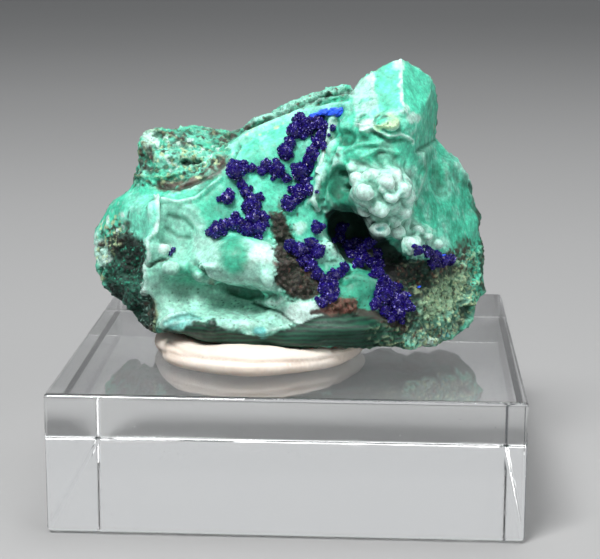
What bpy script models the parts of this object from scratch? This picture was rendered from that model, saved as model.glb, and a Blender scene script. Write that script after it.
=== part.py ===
"""Azurite specimen: a green stone with azurite balls, held by putty on a clear acrylic block.

The model is shaped in millimetres and turned into metres at the end. The origin is the middle of
the block's underside, +X is to the right and +Y to the back as seen from the front, +Z is up.
"""
import math
import random

import bmesh
import bpy
from mathutils import Euler, Matrix, Vector, noise
from mathutils.bvhtree import BVHTree

# Driving dimensions, in millimetres
METRES_PER_MM = 0.001
BLOCK_WIDTH = 40.0
BLOCK_DEPTH = 40.0
BLOCK_HEIGHT = 12.0
BLOCK_EASED_EDGE = 0.35
FIT_GAP = 0.3
TACK_CENTRE = (-3.4, -5.6)
TACK_LENGTH = 18.6
TACK_WIDTH = 16.2
TACK_HEIGHT = 2.6
TACK_FOOT_SHARE = 0.15
TACK_SIDE_FULLNESS = 0.55
TACK_EDGE_WAVES = ((3.0, 0.035, 0.6), (7.0, 0.02, 0.0))
TACK_LUMP_SIZE = 2.9
TACK_LUMP_SHARE = 0.12
TACK_VOXEL = 0.4
TACK_TRIANGLES = 560
STONE_VOXEL = 0.36
STONE_TRIANGLES = 5600
SMOOTHING = 0.5
SMOOTHING_LOSS = 0.22
CLEARANCE_VOXEL = 0.35
THINNING_LOSS = 0.1

# Azurite balls: how they stand on the stone and run together
BALL_LIFT_SHARE = 0.45
LEAST_FACING = 0.4
LINK_SPACING = 0.8
LINK_SHARE = 0.85
ROUND_BALL_RADIUS = 0.88
TRIANGLES_PER_BALL = 38

# Skin of the stone: size of its waves, and how far they reach in and out
BROAD_WAVE_SIZE = 3.6
BROAD_WAVE_HEIGHT = 0.2
GRAIN_SIZE = 1.33
GRAIN_MIDDLE = 0.55
GRAIN_HEIGHT = 0.9
LEDGES_PER_MM = 0.67
LEDGE_BEND_SIZE = 2.5
LEDGE_BEND = 5.0
LEDGE_HEIGHT = 0.22
SHELF_GRAIN_SHARE = 0.8

# Where the broken skin begins and where it is in full: behind the front, on the left wing below
# its pale top, at the lower right below the slope, and on the upper left shelf
BROKEN_BEHIND_Y = (-3.0, 1.0)
BROKEN_LEFT_X = (-12.6, -14.0)
BROKEN_LEFT_Z = (25.5, 23.5)
BROKEN_RIGHT_X = (8.5, 10.5)
BROKEN_RIGHT_Z = (21.0, 19.0)
BROKEN_SHELF_X = (-5.5, -8.0)
BROKEN_SHELF_Z = (26.0, 27.5)

# The front of the stone is laid out on an upright plane at this depth, seen from this point.
# A feature given as (x, z) lies on the stone where that line of sight meets it.
VIEW_POINT = Vector((8.8, -157.7, 52.6))
FRONT_PLANE_Y = -10.0

# Corners of the broken chunks that make up the stone, x y z
CHUNKS = {
    "main mass": (
        (-5.8, -3.5, 31.0), (-2.4, -3.0, 32.6), (0.3, -3.0, 33.7), (4.7, -4.0, 34.7),
        (-11.5, -6.0, 26.4), (-7.2, -4.5, 30.3), (-11.9, -8.5, 26.0), (-12.7, -9.5, 22.6),
        (-12.5, -9.5, 19.0), (-12.6, -8.5, 15.0), (-7.9, -10.5, 14.5), (-4.0, -10.5, 14.1), (-0.1, -11.0, 14.2),
        (3.4, -11.5, 15.4), (7.0, -10.5, 13.9), (9.4, -10.0, 14.4), (12.9, -7.0, 17.5),
        (12.9, -6.5, 21.0), (-13.6, 6.0, 23.9), (4.5, 6.0, 31.7), (13.1, 6.0, 24.2),
        (12.4, 7.0, 14.4), (-13.7, 6.0, 14.4),
    ),
    "upper left shelf": (
        (-14.0, -3.0, 31.5), (-11.1, -1.0, 32.2), (-8.3, -1.0, 31.4), (-5.8, 0.0, 31.5),
        (-14.4, -4.0, 28.5), (-14.3, -4.5, 26.9), (-11.9, -6.0, 26.9), (-6.2, -5.0, 29.5),
        (-14.8, 5.0, 29.8), (-6.5, 7.0, 29.9), (-15.5, 6.0, 24.8), (-14.7, -3.0, 26.4),
        (-15.0, -2.5, 24.5), (-12.0, -6.5, 24.0), (-6.0, -4.0, 26.0),
    ),
    "left wing": (
        (-18.6, -3.0, 22.8), (-17.7, -2.0, 24.2), (-16.0, -3.0, 25.9), (-19.0, -3.0, 19.3),
        (-17.9, -3.0, 17.6), (-16.4, -4.5, 17.3), (-14.6, -6.0, 15.1), (-13.5, -7.0, 14.2),
        (-12.0, -8.0, 14.1), (-14.4, -7.5, 23.1), (-12.6, -8.0, 25.9), (-13.0, -9.0, 18.5),
        (-18.6, 4.0, 21.7), (-18.7, 4.0, 16.9), (-15.5, 5.0, 14.5), (-16.3, 5.0, 24.0),
    ),
    "rear rim": (
        (-5.9, 1.0, 31.5), (-4.5, 2.0, 32.1), (-2.0, 2.0, 32.6), (-1.3, 3.0, 33.2),
        (-0.3, 3.0, 34.0), (1.1, 3.0, 35.1), (4.0, 3.0, 36.0), (4.9, 3.0, 36.0),
        (-6.0, 7.0, 30.1), (-0.3, 8.0, 32.6), (4.4, 8.0, 33.6), (-7.0, 0.0, 27.0),
        (5.0, 0.0, 28.0), (-7.0, 7.5, 24.0), (6.0, 8.5, 25.0),
    ),
    "upper right block": (
        (9.2, -3.5, 38.6), (6.2, -5.0, 37.1), (5.1, -5.5, 36.1), (8.4, -4.0, 37.3),
        (11.7, -0.5, 36.8), (12.8, 1.0, 36.0), (13.1, 1.5, 34.0), (12.9, 1.5, 31.6),
        (12.4, 1.0, 30.2), (6.7, -7.5, 36.6), (9.3, -7.5, 36.9), (9.6, -9.0, 34.4),
        (6.9, -9.5, 33.1), (4.4, -6.0, 33.4), (11.3, -5.0, 34.1), (11.3, -6.0, 28.9),
        (10.6, -7.0, 26.4), (3.2, -8.0, 30.9), (2.2, -8.5, 27.9), (2.5, -9.0, 26.2),
        (5.0, -9.5, 27.7), (9.2, -9.5, 31.2), (11.0, 5.0, 34.7), (6.4, 4.0, 34.8),
        (12.0, 5.0, 30.1), (5.5, 5.0, 29.0),
    ),
    "right slope": (
        (12.4, 0.0, 30.2), (13.6, 0.5, 30.2), (14.9, 1.0, 29.2), (15.7, 1.5, 27.6),
        (15.7, 1.5, 25.7), (16.5, 1.5, 24.2), (17.3, 1.5, 21.5), (17.4, 1.0, 18.8),
        (17.1, 0.0, 16.3), (16.8, -2.5, 14.6), (15.3, -4.5, 13.7), (12.8, -7.0, 13.1),
        (10.8, -9.0, 13.6), (9.2, -9.5, 13.6), (10.6, -6.0, 26.3), (10.4, -8.0, 22.2), (10.7, -9.5, 18.1),
        (13.5, 6.0, 29.0), (16.0, 7.0, 24.1), (16.1, 6.0, 15.5), (13.3, 6.0, 14.0),
    ),
    "back mass": (
        (-15.2, 3.0, 27.0), (-17.0, 3.0, 21.0), (-14.5, 5.0, 15.0), (-9.0, 7.5, 28.0),
        (-3.0, 9.0, 23.5), (4.0, 9.0, 30.0), (10.5, 6.0, 32.5), (14.0, 5.0, 28.5),
        (15.8, 5.5, 21.0), (7.0, 9.0, 18.0), (-6.0, 7.5, 14.6), (13.5, 4.5, 14.4),
        (-13.0, -3.0, 20.0), (12.0, -3.0, 20.0), (10.0, 0.0, 32.0),
    ),
}

# Flat broken faces of the upper right block, each through three of its corners, taken so that
# the face looks out of the stone, and the lowest height that it reaches
FACETS = {
    "left face": ((9.2, -3.5, 38.4), (6.1, -5.0, 36.9), (9.5, -8.9, 34.4), 33.8),
    "right face": ((9.2, -3.5, 38.4), (9.5, -8.9, 34.4), (11.7, -0.5, 36.7), 33.8),
    "pale side": ((6.1, -5.0, 36.9), (4.9, -5.6, 35.6), (6.9, -9.4, 33.1), 33.4),
    "right side": ((12.7, 1.0, 36.0), (11.2, -5.2, 34.1), (12.4, 1.0, 30.4), 30.6),
}
FACET_REACH_X = 4.8

# Rounded growths: place on the front (x, z), half sizes (x, y, z), how far the middle stands
# out of the face, and turn in the front plane in degrees
GROWTHS = {
    "white lobe middle": ((-4.6, 21.4), (2.9, 2.6, 2.2), 0.9, 0),
    "white lobe right": ((-2.2, 21.0), (2.0, 2.1, 2.0), 0.8, 0),
    "white lobe left": ((-7.0, 20.6), (2.0, 1.9, 1.5), 0.6, 10),
    "white lobe tail": ((-0.8, 18.7), (2.2, 1.3, 0.9), 0.2, 32),
    "lower lip left": ((-9.8, 15.7), (2.4, 1.6, 0.9), 0.0, 0),
    "lower lip middle": ((-6.8, 15.7), (2.8, 1.8, 0.9), 0.2, 0),
    "lower lip right": ((-2.8, 15.7), (2.8, 1.4, 0.8), 0.0, -8),
    "white tongue": ((1.0, 17.2), (1.7, 0.9, 1.5), -0.2, 20),
    "green knob": ((-6.9, 15.6), (0.4, 0.4, 0.4), 0.4, 0),
    "smooth knob": ((-10.5, 20.7), (0.8, 0.7, 0.6), 0.1, 0),
    "white ball": ((-11.0, 22.4), (0.5, 0.5, 0.5), 0.3, 0),
    "left ridge upper": ((-11.9, 25.3), (0.7, 1.1, 1.9), 0.1, 12),
    "left ridge middle": ((-12.5, 22.6), (0.7, 1.1, 1.3), 0.1, -8),
    "left ridge lower": ((-12.7, 19.4), (0.6, 1.1, 1.9), 0.1, 0),
    "left tip": ((-16.6, 19.6), (0.7, 0.6, 0.4), -0.1, 0),
    "translucent lump": ((6.4, 35.1), (0.9, 0.8, 0.8), 0.2, 0),
    "white lump": ((6.1, 33.7), (0.8, 0.8, 0.8), 0.2, 0),
    "pitted band": ((7.9, 33.6), (1.2, 0.6, 0.9), 0.0, -15),
    "pale crest top": ((3.3, 33.2), (0.6, 1.0, 1.6), 0.0, 10),
    "pale crest middle": ((2.3, 30.4), (0.7, 1.2, 1.8), 0.1, 12),
    "pale crest low": ((1.8, 27.4), (0.7, 1.2, 1.6), 0.2, 0),
    "lumpy shelf": ((7.6, 27.6), (3.1, 2.2, 2.2), 0.3, 0),
    "lump upper": ((8.6, 28.7), (1.3, 1.2, 1.4), 1.5, 0),
    "lump left": ((6.1, 27.5), (1.2, 1.2, 1.1), 1.5, 0),
    "lump low left": ((7.2, 26.0), (1.1, 1.1, 1.0), 1.9, 0),
    "lump low right": ((9.4, 26.0), (1.2, 1.2, 1.3), 1.5, 0),
    "ring shelf": ((8.6, 24.8), (2.0, 1.8, 1.0), 0.4, 25),
    "ring bubble": ((7.7, 24.4), (0.95, 0.9, 0.75), 1.9, 0),
    "nodule": ((10.2, 23.1), (0.95, 0.95, 0.95), 1.2, 0),
    "shelf bits": ((11.2, 24.0), (1.3, 1.0, 0.7), 0.4, 25),
    "right fold": ((10.4, 33.2), (0.7, 0.8, 1.2), 0.0, -30),
    "green island": ((5.8, 19.2), (1.5, 0.7, 1.7), -0.2, -20),
    "round island": ((3.2, 22.2), (1.2, 0.6, 1.3), -0.1, 0),
    "brown pebbles": ((4.4, 17.6), (1.3, 0.6, 0.6), 0.1, 0),
    "banded keel": ((3.0, 15.4), (5.0, 1.0, 0.7), -0.4, 3),
    "front keel": ((-4.4, 14.6), (4.6, 1.3, 0.8), -0.3, 1),
    "front keel right": ((0.4, 14.5), (2.4, 1.2, 0.8), -0.3, -4),
    "lower right tip": ((11.6, 15.2), (1.1, 0.8, 0.7), -0.1, 15),
}

# Hollows: place on the front, half sizes, depth of the middle behind the face, turn
HOLLOWS = {
    "under lobe left": ((-9.2, 18.4), (3.2, 2.2, 1.7), -0.3, 0),
    "under lobe middle": ((-5.6, 17.9), (3.4, 2.8, 1.2), -0.2, 12),
    "under lobe right": ((-2.4, 17.3), (2.6, 1.6, 0.8), 0.0, 25),
    "sheet hollow": ((-10.0, 23.8), (1.9, 1.8, 2.8), -0.5, 5),
    "cavity": ((4.8, 23.9), (2.0, 3.6, 2.5), 1.2, 25),
    "cavity slope": ((8.0, 22.0), (2.6, 2.2, 1.3), 0.2, 25),
    "dark shelf": ((11.6, 20.6), (2.6, 1.4, 1.2), 0.3, 8),
    "groove by the lobe": ((-0.8, 22.6), (0.8, 1.2, 2.4), -0.1, -25),
    "shelf pit": ((-8.8, 30.0), (0.9, 0.9, 0.45), 0.1, 0),
    "shelf step": ((-10.4, 28.4), (2.4, 0.8, 0.6), 0.1, 20),
    "green scoop": ((4.0, 28.2), (1.1, 1.1, 1.9), 0.1, -12),
    "upper hollow": ((4.8, 32.1), (0.8, 0.7, 0.7), 0.1, 0),
    "second hollow": ((6.3, 32.0), (0.6, 0.6, 0.6), 0.0, 0),
    "side of the block": ((12.4, 29.0), (0.9, 1.2, 2.6), 0.3, 10),
    "left wedge": ((-16.6, 20.8), (0.9, 0.9, 0.8), 0.1, 30),
    "granular patch": ((-14.7, 21.3), (1.4, 1.1, 2.2), -0.2, 0),
    "right wedge": ((15.2, 17.3), (0.8, 0.9, 0.5), 0.1, 40),
}

# Grooves along the crest, between the front face and the rear rim: middle, half sizes, turn
GROOVES = {
    "dark groove left": ((-3.6, -0.6, 32.2), (2.8, 1.3, 0.6), -20),
    "dark groove right": ((2.2, -0.3, 34.8), (3.2, 1.3, 0.7), -14),
}

# Azurite balls of each group: place on the front and radius, in the order in which they touch
AZURITE_GROUPS = {
    "azurite_cluster_upper": (
        (0.9, 33.9, 0.65), (1.7, 33.4, 0.90), (0.3, 32.9, 1.00), (2.6, 33.4, 0.80), (2.7, 32.5, 0.75),
        (2.2, 31.6, 0.78), (1.8, 30.8, 0.78), (1.4, 30.0, 0.80), (0.8, 29.2, 1.00), (1.2, 32.3, 0.70),
        (-0.1, 31.9, 0.75), (-0.6, 31.0, 0.90), (1.3, 28.3, 0.75), (0.7, 27.4, 0.95), (-0.3, 26.5, 0.85),
        (-0.3, 29.1, 0.65), (-1.3, 29.4, 0.90), (-2.4, 29.5, 0.68), (-3.4, 29.4, 0.62), (-4.7, 29.4, 1.00),
    ),
    "azurite_ball_left": (
        (-5.6, 26.9, 0.75), (-6.2, 26.8, 0.40),
    ),
    "azurite_cluster_middle": (
        (-4.2, 28.0, 0.52), (-4.0, 27.3, 0.70), (-3.6, 26.5, 0.80), (-2.8, 26.7, 0.60), (-3.5, 25.4, 0.98),
        (-2.6, 25.1, 0.78), (-4.6, 24.8, 0.82), (-5.5, 24.6, 0.78), (-6.5, 24.0, 0.88), (-3.8, 24.1, 0.88),
        (-2.8, 24.1, 0.80),
    ),
    "azurite_ball_right": (
        (2.2, 24.4, 0.75),
    ),
    "azurite_cluster_lower": (
        (-0.2, 22.8, 0.80), (0.8, 22.5, 0.88), (1.7, 23.1, 0.68), (2.3, 22.2, 0.78), (1.2, 21.5, 0.80),
        (1.9, 20.7, 0.78), (2.8, 19.9, 0.82), (3.8, 20.3, 0.70), (4.6, 20.9, 0.60), (3.0, 18.9, 0.92),
        (3.0, 17.9, 0.82),
    ),
    "azurite_cavity_crust": (
        (4.5, 23.8, 0.75), (5.4, 23.3, 0.75), (5.0, 22.6, 0.75), (5.9, 21.8, 0.80), (6.8, 21.1, 0.78), (7.6, 20.2, 0.85), (8.0, 19.1, 0.98),
        (9.0, 18.1, 1.05), (9.3, 17.1, 0.90), (7.9, 17.6, 0.95), (8.8, 19.4, 0.80), (10.1, 17.6, 0.70),
    ),
    "azurite_cluster_right": (
        (10.9, 22.5, 0.60), (11.7, 22.3, 0.72), (12.5, 22.0, 0.80), (13.4, 21.8, 0.68),
    ),
}


def clear_scene():
    """Empty the file of its objects."""
    for old in list(bpy.data.objects):
        bpy.data.objects.remove(old, do_unlink=True)


def new_collection(name):
    """A collection of that name, linked to the scene."""
    made = bpy.data.collections.new(name)
    bpy.context.scene.collection.children.link(made)
    return made


def object_from(name, shape, collection):
    """Turn a bmesh into an object in the collection."""
    mesh = bpy.data.meshes.new(name)
    shape.to_mesh(mesh)
    shape.free()
    made = bpy.data.objects.new(name, mesh)
    collection.objects.link(made)
    return made


def apply_modifiers(thing):
    """Keep the evaluated mesh as the object's own mesh."""
    graph = bpy.context.evaluated_depsgraph_get()
    shaped = bpy.data.meshes.new_from_object(thing.evaluated_get(graph))
    thing.modifiers.clear()
    thing.data = shaped


def remesh(thing, voxel):
    """Fuse what overlaps in one skin of even faces."""
    step = thing.modifiers.new("fuse", "REMESH")
    step.mode = "VOXEL"
    step.voxel_size = voxel
    apply_modifiers(thing)


def boolean(thing, other, operation):
    """Join or cut with another closed mesh."""
    step = thing.modifiers.new(operation.lower(), "BOOLEAN")
    step.operation = operation
    step.solver = "EXACT"
    step.object = other
    apply_modifiers(thing)


def smooth(thing, rounds):
    """Even out the skin."""
    step = thing.modifiers.new("smooth", "SMOOTH")
    step.factor = SMOOTHING
    step.iterations = rounds
    apply_modifiers(thing)


def thin_out(thing, triangles):
    """Bring the skin down to about that many triangles."""
    thing.data.calc_loop_triangles()
    step = thing.modifiers.new("thin out", "DECIMATE")
    step.ratio = min(1.0, triangles / len(thing.data.loop_triangles))
    apply_modifiers(thing)


def keep_largest(thing):
    """Drop crumbs that a cut has left loose."""
    shape = bmesh.new()
    shape.from_mesh(thing.data)
    unseen = set(shape.verts)
    pieces = []
    while unseen:
        front = [unseen.pop()]
        piece = list(front)
        while front:
            for edge in front.pop().link_edges:
                for vert in edge.verts:
                    if vert in unseen:
                        unseen.remove(vert)
                        front.append(vert)
                        piece.append(vert)
        pieces.append(piece)
    pieces.sort(key=len)
    for piece in pieces[:-1]:
        bmesh.ops.delete(shape, geom=piece, context="VERTS")
    shape.to_mesh(thing.data)
    shape.free()


def add_chunk(shape, corners):
    """Add the closed hull of the corners."""
    verts = [shape.verts.new(corner) for corner in corners]
    made = bmesh.ops.convex_hull(shape, input=verts)
    spare = [item for item in made["geom_interior"] if isinstance(item, bmesh.types.BMVert)]
    bmesh.ops.delete(shape, geom=spare, context="VERTS")


def line_of_sight(spot):
    """Direction from the view point through a spot of the front plane."""
    return (Vector((spot[0], FRONT_PLANE_Y, spot[1])) - VIEW_POINT).normalized()


def seat(surface, spot):
    """Point and outward normal where the line of sight meets the surface."""
    point, normal, _, _ = surface.ray_cast(VIEW_POINT, line_of_sight(spot))
    if point is None:
        raise ValueError(f"nothing lies behind {spot}")
    return point, normal


def add_ellipsoid(shape, centre, half_sizes, turn, detail=3):
    """Add a ball stretched to the half sizes and turned in the front plane."""
    place = (
        Matrix.Translation(centre)
        @ Matrix.Rotation(math.radians(-turn), 4, "Y")
        @ Matrix.Diagonal((*half_sizes, 1.0))
    )
    bmesh.ops.create_icosphere(shape, subdivisions=detail, radius=1.0, matrix=place)


def surface_of(thing):
    """Search tree of an object's faces."""
    shape = bmesh.new()
    shape.from_mesh(thing.data)
    tree = BVHTree.FromBMesh(shape)
    shape.free()
    return tree


def swell(thing, amount):
    """Move the skin out along its normals."""
    for vert in thing.data.vertices:
        vert.co = vert.co + vert.normal * amount


def rough_chunks(collection):
    """The broken chunks, fused in one lump."""
    shape = bmesh.new()
    for corners in CHUNKS.values():
        add_chunk(shape, corners)
    lump = object_from("rough_lump", shape, collection)
    remesh(lump, STONE_VOXEL)
    smooth(lump, 1)
    swell(lump, SMOOTHING_LOSS)
    return lump


def add_growths(lump, surface):
    """Grow the rounded forms out of the lump's front."""
    shape = bmesh.new()
    shape.from_mesh(lump.data)
    for spot, half_sizes, proud, turn in GROWTHS.values():
        point, _ = seat(surface, spot)
        add_ellipsoid(shape, point - line_of_sight(spot) * proud, half_sizes, turn)
    shape.to_mesh(lump.data)
    shape.free()
    remesh(lump, STONE_VOXEL)


def carve_hollows(lump, surface, collection):
    """Cut the hollows, grooves and pits."""
    shape = bmesh.new()
    for spot, half_sizes, depth, turn in HOLLOWS.values():
        point, _ = seat(surface, spot)
        add_ellipsoid(shape, point + line_of_sight(spot) * depth, half_sizes, turn)
    for centre, half_sizes, turn in GROOVES.values():
        add_ellipsoid(shape, centre, half_sizes, turn)
    cutter = object_from("hollows", shape, collection)
    remesh(cutter, STONE_VOXEL)
    boolean(lump, cutter, "DIFFERENCE")
    bpy.data.objects.remove(cutter, do_unlink=True)
    remesh(lump, STONE_VOXEL)


def press_facets(lump):
    """Take off what stands past the flat faces of the upper block."""
    for first, second, third, lowest in FACETS.values():
        first = Vector(first)
        outward = (Vector(second) - first).cross(Vector(third) - first).normalized()
        for vert in lump.data.vertices:
            past = (vert.co - first).dot(outward)
            if past > 0.0 and vert.co.z > lowest and vert.co.x > FACET_REACH_X:
                vert.co = vert.co - outward * past


def between(value, ends):
    """0 at the first end, 1 at the second and a soft rise between them."""
    share = min(1.0, max(0.0, (value - ends[0]) / (ends[1] - ends[0])))
    return share * share * (3.0 - 2.0 * share)


def weathering(point, normal):
    """How far the broken skin stands out of the even one at a point."""
    broad = noise.noise(point / BROAD_WAVE_SIZE) * BROAD_WAVE_HEIGHT
    grain = noise.turbulence(point / GRAIN_SIZE, 3, False) - GRAIN_MIDDLE
    bend = noise.noise(point / LEDGE_BEND_SIZE) * LEDGE_BEND
    ledges = math.sin(point.z * math.tau * LEDGES_PER_MM + bend) * (1.0 - abs(normal.z))
    behind = between(point.y, BROKEN_BEHIND_Y)
    left = between(point.x, BROKEN_LEFT_X) * between(point.z, BROKEN_LEFT_Z)
    lower_right = between(point.x, BROKEN_RIGHT_X) * between(point.z, BROKEN_RIGHT_Z)
    shelf = between(point.x, BROKEN_SHELF_X) * between(point.z, BROKEN_SHELF_Z) * SHELF_GRAIN_SHARE
    rough = max(behind, left, lower_right, shelf)
    return broad + rough * (grain * GRAIN_HEIGHT + ledges * LEDGE_HEIGHT)


def weather(lump):
    """Move the skin in and out: broad waves everywhere, grain and ledges on broken faces."""
    moved = []
    for vert in lump.data.vertices:
        moved.append(vert.co + vert.normal * weathering(vert.co, vert.normal))
    for vert, place in zip(lump.data.vertices, moved):
        vert.co = place


def malachite_matrix(collection):
    """The green stone, one piece from its keel to the upper block."""
    lump = rough_chunks(collection)
    surface = surface_of(lump)
    carve_hollows(lump, surface, collection)
    add_growths(lump, surface)
    smooth(lump, 2)
    weather(lump)
    press_facets(lump)
    remesh(lump, STONE_VOXEL)
    keep_largest(lump)
    thin_out(lump, STONE_TRIANGLES)
    lump.name = "malachite_matrix"
    return lump


def clearance_of(stone, collection):
    """The stone swollen by the gap that its neighbours keep from it."""
    swollen = object_from("stone_clearance", bmesh.new(), collection)
    swollen.data = stone.data.copy()
    swell(swollen, FIT_GAP + THINNING_LOSS)
    remesh(swollen, CLEARANCE_VOXEL)
    keep_largest(swollen)
    swollen.hide_render = True
    swollen.display_type = "WIRE"
    return swollen


def ball_mesh(centre, radius, turn, collection):
    """One small faceted azurite ball."""
    shape = bmesh.new()
    detail = 2 if radius > ROUND_BALL_RADIUS else 1
    place = Matrix.Translation(centre) @ turn.to_matrix().to_4x4()
    bmesh.ops.create_icosphere(shape, subdivisions=detail, radius=radius, matrix=place)
    return object_from("ball", shape, collection)


def azurite_group(name, spots, surface, clearance, collection, rng):
    """Balls that have grown together, cut clear of the stone."""
    group = None
    placed = []
    for x, z, radius in spots:
        point, normal = seat(surface, (x, z))
        sight = line_of_sight((x, z))
        lift = (FIT_GAP + BALL_LIFT_SHARE * radius) / max(LEAST_FACING, -normal.dot(sight))
        centre = point - sight * lift
        turn = Euler([rng.uniform(0.0, math.tau) for _ in range(3)])
        links = [(centre, radius)]
        if placed:
            near, near_radius = min(placed, key=lambda item: (item[0] - centre).length - item[1])
            span = (near - centre).length
            steps = int(span / (LINK_SPACING * (near_radius + radius)))
            for step in range(steps):
                share = (step + 1) / (steps + 1)
                links.append((centre.lerp(near, share), LINK_SHARE * min(radius, near_radius)))
        placed.append((centre, radius))
        for place, size in links:
            ball = ball_mesh(place, size, turn, collection)
            if group is None:
                group = ball
                continue
            boolean(group, ball, "UNION")
            bpy.data.objects.remove(ball, do_unlink=True)
    boolean(group, clearance, "DIFFERENCE")
    keep_largest(group)
    thin_out(group, TRIANGLES_PER_BALL * len(spots))
    group.name = name
    return group


def mounting_tack(clearance, collection):
    """The putty pad, pressed flat under the stone, widest where it meets the block."""
    shape = bmesh.new()
    bmesh.ops.create_uvsphere(shape, u_segments=40, v_segments=16, radius=1.0)
    bottom = BLOCK_HEIGHT + FIT_GAP
    for vert in shape.verts:
        around = math.atan2(vert.co.y, vert.co.x)
        wave = 1.0
        for count, height, shift in TACK_EDGE_WAVES:
            wave += height * math.sin(count * around + shift)
        reach = math.hypot(vert.co.x, vert.co.y)
        spread = reach ** TACK_SIDE_FULLNESS / reach if reach > 0.001 else 1.0
        x = TACK_CENTRE[0] + vert.co.x * spread * wave * TACK_LENGTH / 2
        y = TACK_CENTRE[1] + vert.co.y * spread * wave * TACK_WIDTH / 2
        lumpy = 1.0 + TACK_LUMP_SHARE * noise.noise(Vector((x, y, 0.0)) / TACK_LUMP_SIZE)
        rise = vert.co.z if vert.co.z > 0.0 else vert.co.z * TACK_FOOT_SHARE
        z = bottom + TACK_HEIGHT * (TACK_FOOT_SHARE + rise * lumpy) / (1.0 + TACK_FOOT_SHARE)
        vert.co = Vector((x, y, max(z, bottom)))
    bmesh.ops.remove_doubles(shape, verts=shape.verts, dist=0.01)
    pad = object_from("mounting_tack", shape, collection)
    remesh(pad, TACK_VOXEL)
    for vert in pad.data.vertices:
        vert.co.z = max(vert.co.z, bottom)
    boolean(pad, clearance, "DIFFERENCE")
    keep_largest(pad)
    thin_out(pad, TACK_TRIANGLES)
    return pad


def acrylic_block(collection):
    """The clear block with eased edges."""
    shape = bmesh.new()
    size = Matrix.Diagonal((BLOCK_WIDTH, BLOCK_DEPTH, BLOCK_HEIGHT, 1.0))
    bmesh.ops.create_cube(shape, size=1.0, matrix=Matrix.Translation((0, 0, BLOCK_HEIGHT / 2)) @ size)
    block = object_from("acrylic_block", shape, collection)
    step = block.modifiers.new("eased edges", "BEVEL")
    step.width = BLOCK_EASED_EDGE
    step.segments = 2
    apply_modifiers(block)
    return block


def material(name, colour, roughness, metallic=0.0, transmission=0.0, ior=1.5):
    """A plain material of that colour and finish."""
    made = bpy.data.materials.new(name)
    made.use_nodes = True
    shader = made.node_tree.nodes["Principled BSDF"]
    shader.inputs["Base Color"].default_value = (*colour, 1.0)
    shader.inputs["Roughness"].default_value = roughness
    shader.inputs["Metallic"].default_value = metallic
    shader.inputs["Transmission Weight"].default_value = transmission
    shader.inputs["IOR"].default_value = ior
    return made


def to_metres(thing):
    """Turn a mesh made in millimetres into metres."""
    thing.data.transform(Matrix.Scale(METRES_PER_MM, 4))


def main():
    clear_scene()
    parts = new_collection("azurite_specimen")
    cutters = new_collection("cutters")
    rng = random.Random(7)

    stone = malachite_matrix(parts)
    clearance = clearance_of(stone, cutters)
    surface = surface_of(stone)
    stone.data.materials.append(material("green_stone", (0.22, 0.62, 0.44), 0.6))

    tack = mounting_tack(clearance, parts)
    tack.data.materials.append(material("white_putty", (0.90, 0.84, 0.77), 0.7))

    block = acrylic_block(parts)
    block.data.materials.append(material("clear_acrylic", (0.96, 0.96, 0.96), 0.08, 0.0, 1.0, 1.49))

    azurite = material("azurite", (0.02, 0.01, 0.25), 0.35)
    made = [stone, clearance, tack, block]
    for name, spots in AZURITE_GROUPS.items():
        group = azurite_group(name, spots, surface, clearance, parts, rng)
        group.data.materials.clear()
        group.data.materials.append(azurite)
        made.append(group)
    for thing in made:
        to_metres(thing)


main()
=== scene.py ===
"""Looks of the azurite specimen: stone, azurite, putty and clear block, with their light.

Shapes are worked out in millimetres in the frame's own directions and end up in metres. A feature
of the front is given by its place in the 600 by 559 px photograph, and lies on the stone where
the line of sight through that place meets it.
"""
import math
import random

import bmesh
import bpy
import numpy as np
from mathutils import Euler, Matrix, Vector, noise
from mathutils.bvhtree import BVHTree


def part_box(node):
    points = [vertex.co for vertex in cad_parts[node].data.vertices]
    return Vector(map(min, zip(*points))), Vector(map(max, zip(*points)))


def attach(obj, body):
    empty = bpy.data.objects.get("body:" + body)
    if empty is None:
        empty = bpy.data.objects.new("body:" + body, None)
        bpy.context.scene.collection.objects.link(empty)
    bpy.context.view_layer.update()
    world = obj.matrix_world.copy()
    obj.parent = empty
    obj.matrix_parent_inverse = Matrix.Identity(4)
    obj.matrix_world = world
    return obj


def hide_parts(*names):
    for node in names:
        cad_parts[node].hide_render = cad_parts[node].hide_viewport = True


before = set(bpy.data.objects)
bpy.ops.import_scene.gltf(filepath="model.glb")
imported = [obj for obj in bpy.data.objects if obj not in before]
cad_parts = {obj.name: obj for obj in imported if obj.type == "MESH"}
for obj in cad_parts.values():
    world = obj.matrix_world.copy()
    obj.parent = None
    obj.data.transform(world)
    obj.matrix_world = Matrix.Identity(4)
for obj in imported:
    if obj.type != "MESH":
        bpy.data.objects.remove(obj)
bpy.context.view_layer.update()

MM = 0.001

# Camera of the photograph, in millimetres, radians and pixels
PHOTO_WIDTH = 600
PHOTO_MIDDLE = (300.0, 279.5)
FOCAL_PX = 1746.0
EYE = Vector((8.78, -157.51, 52.53))
YAW = 0.0546
PITCH = 0.2178
ROLL = 0.0033
SENSOR_MM = 36.0
EDGE_DEPTH = 158.0

# Fineness of the stone's mesh, in millimetres and triangles
FINE_VOXEL = 0.15
STONE_TRIANGLES = 192000

# Colours of the minerals, 0 to 255
COLOURS = {
    "mint": (84, 214, 178),
    "pale mint": (140, 236, 210),
    "green": (46, 162, 130),
    "deep green": (8, 34, 25),
    "dark green": (24, 88, 64),
    "grey green": (112, 166, 146),
    "white": (210, 242, 232),
    "milk": (172, 224, 208),
    "cream": (192, 216, 166),
    "yellow green": (204, 230, 172),
    "turquoise": (92, 190, 186),
    "brown": (56, 34, 27),
    "light brown": (100, 66, 56),
    "rust": (122, 74, 62),
    "black": (12, 10, 11),
}

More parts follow.
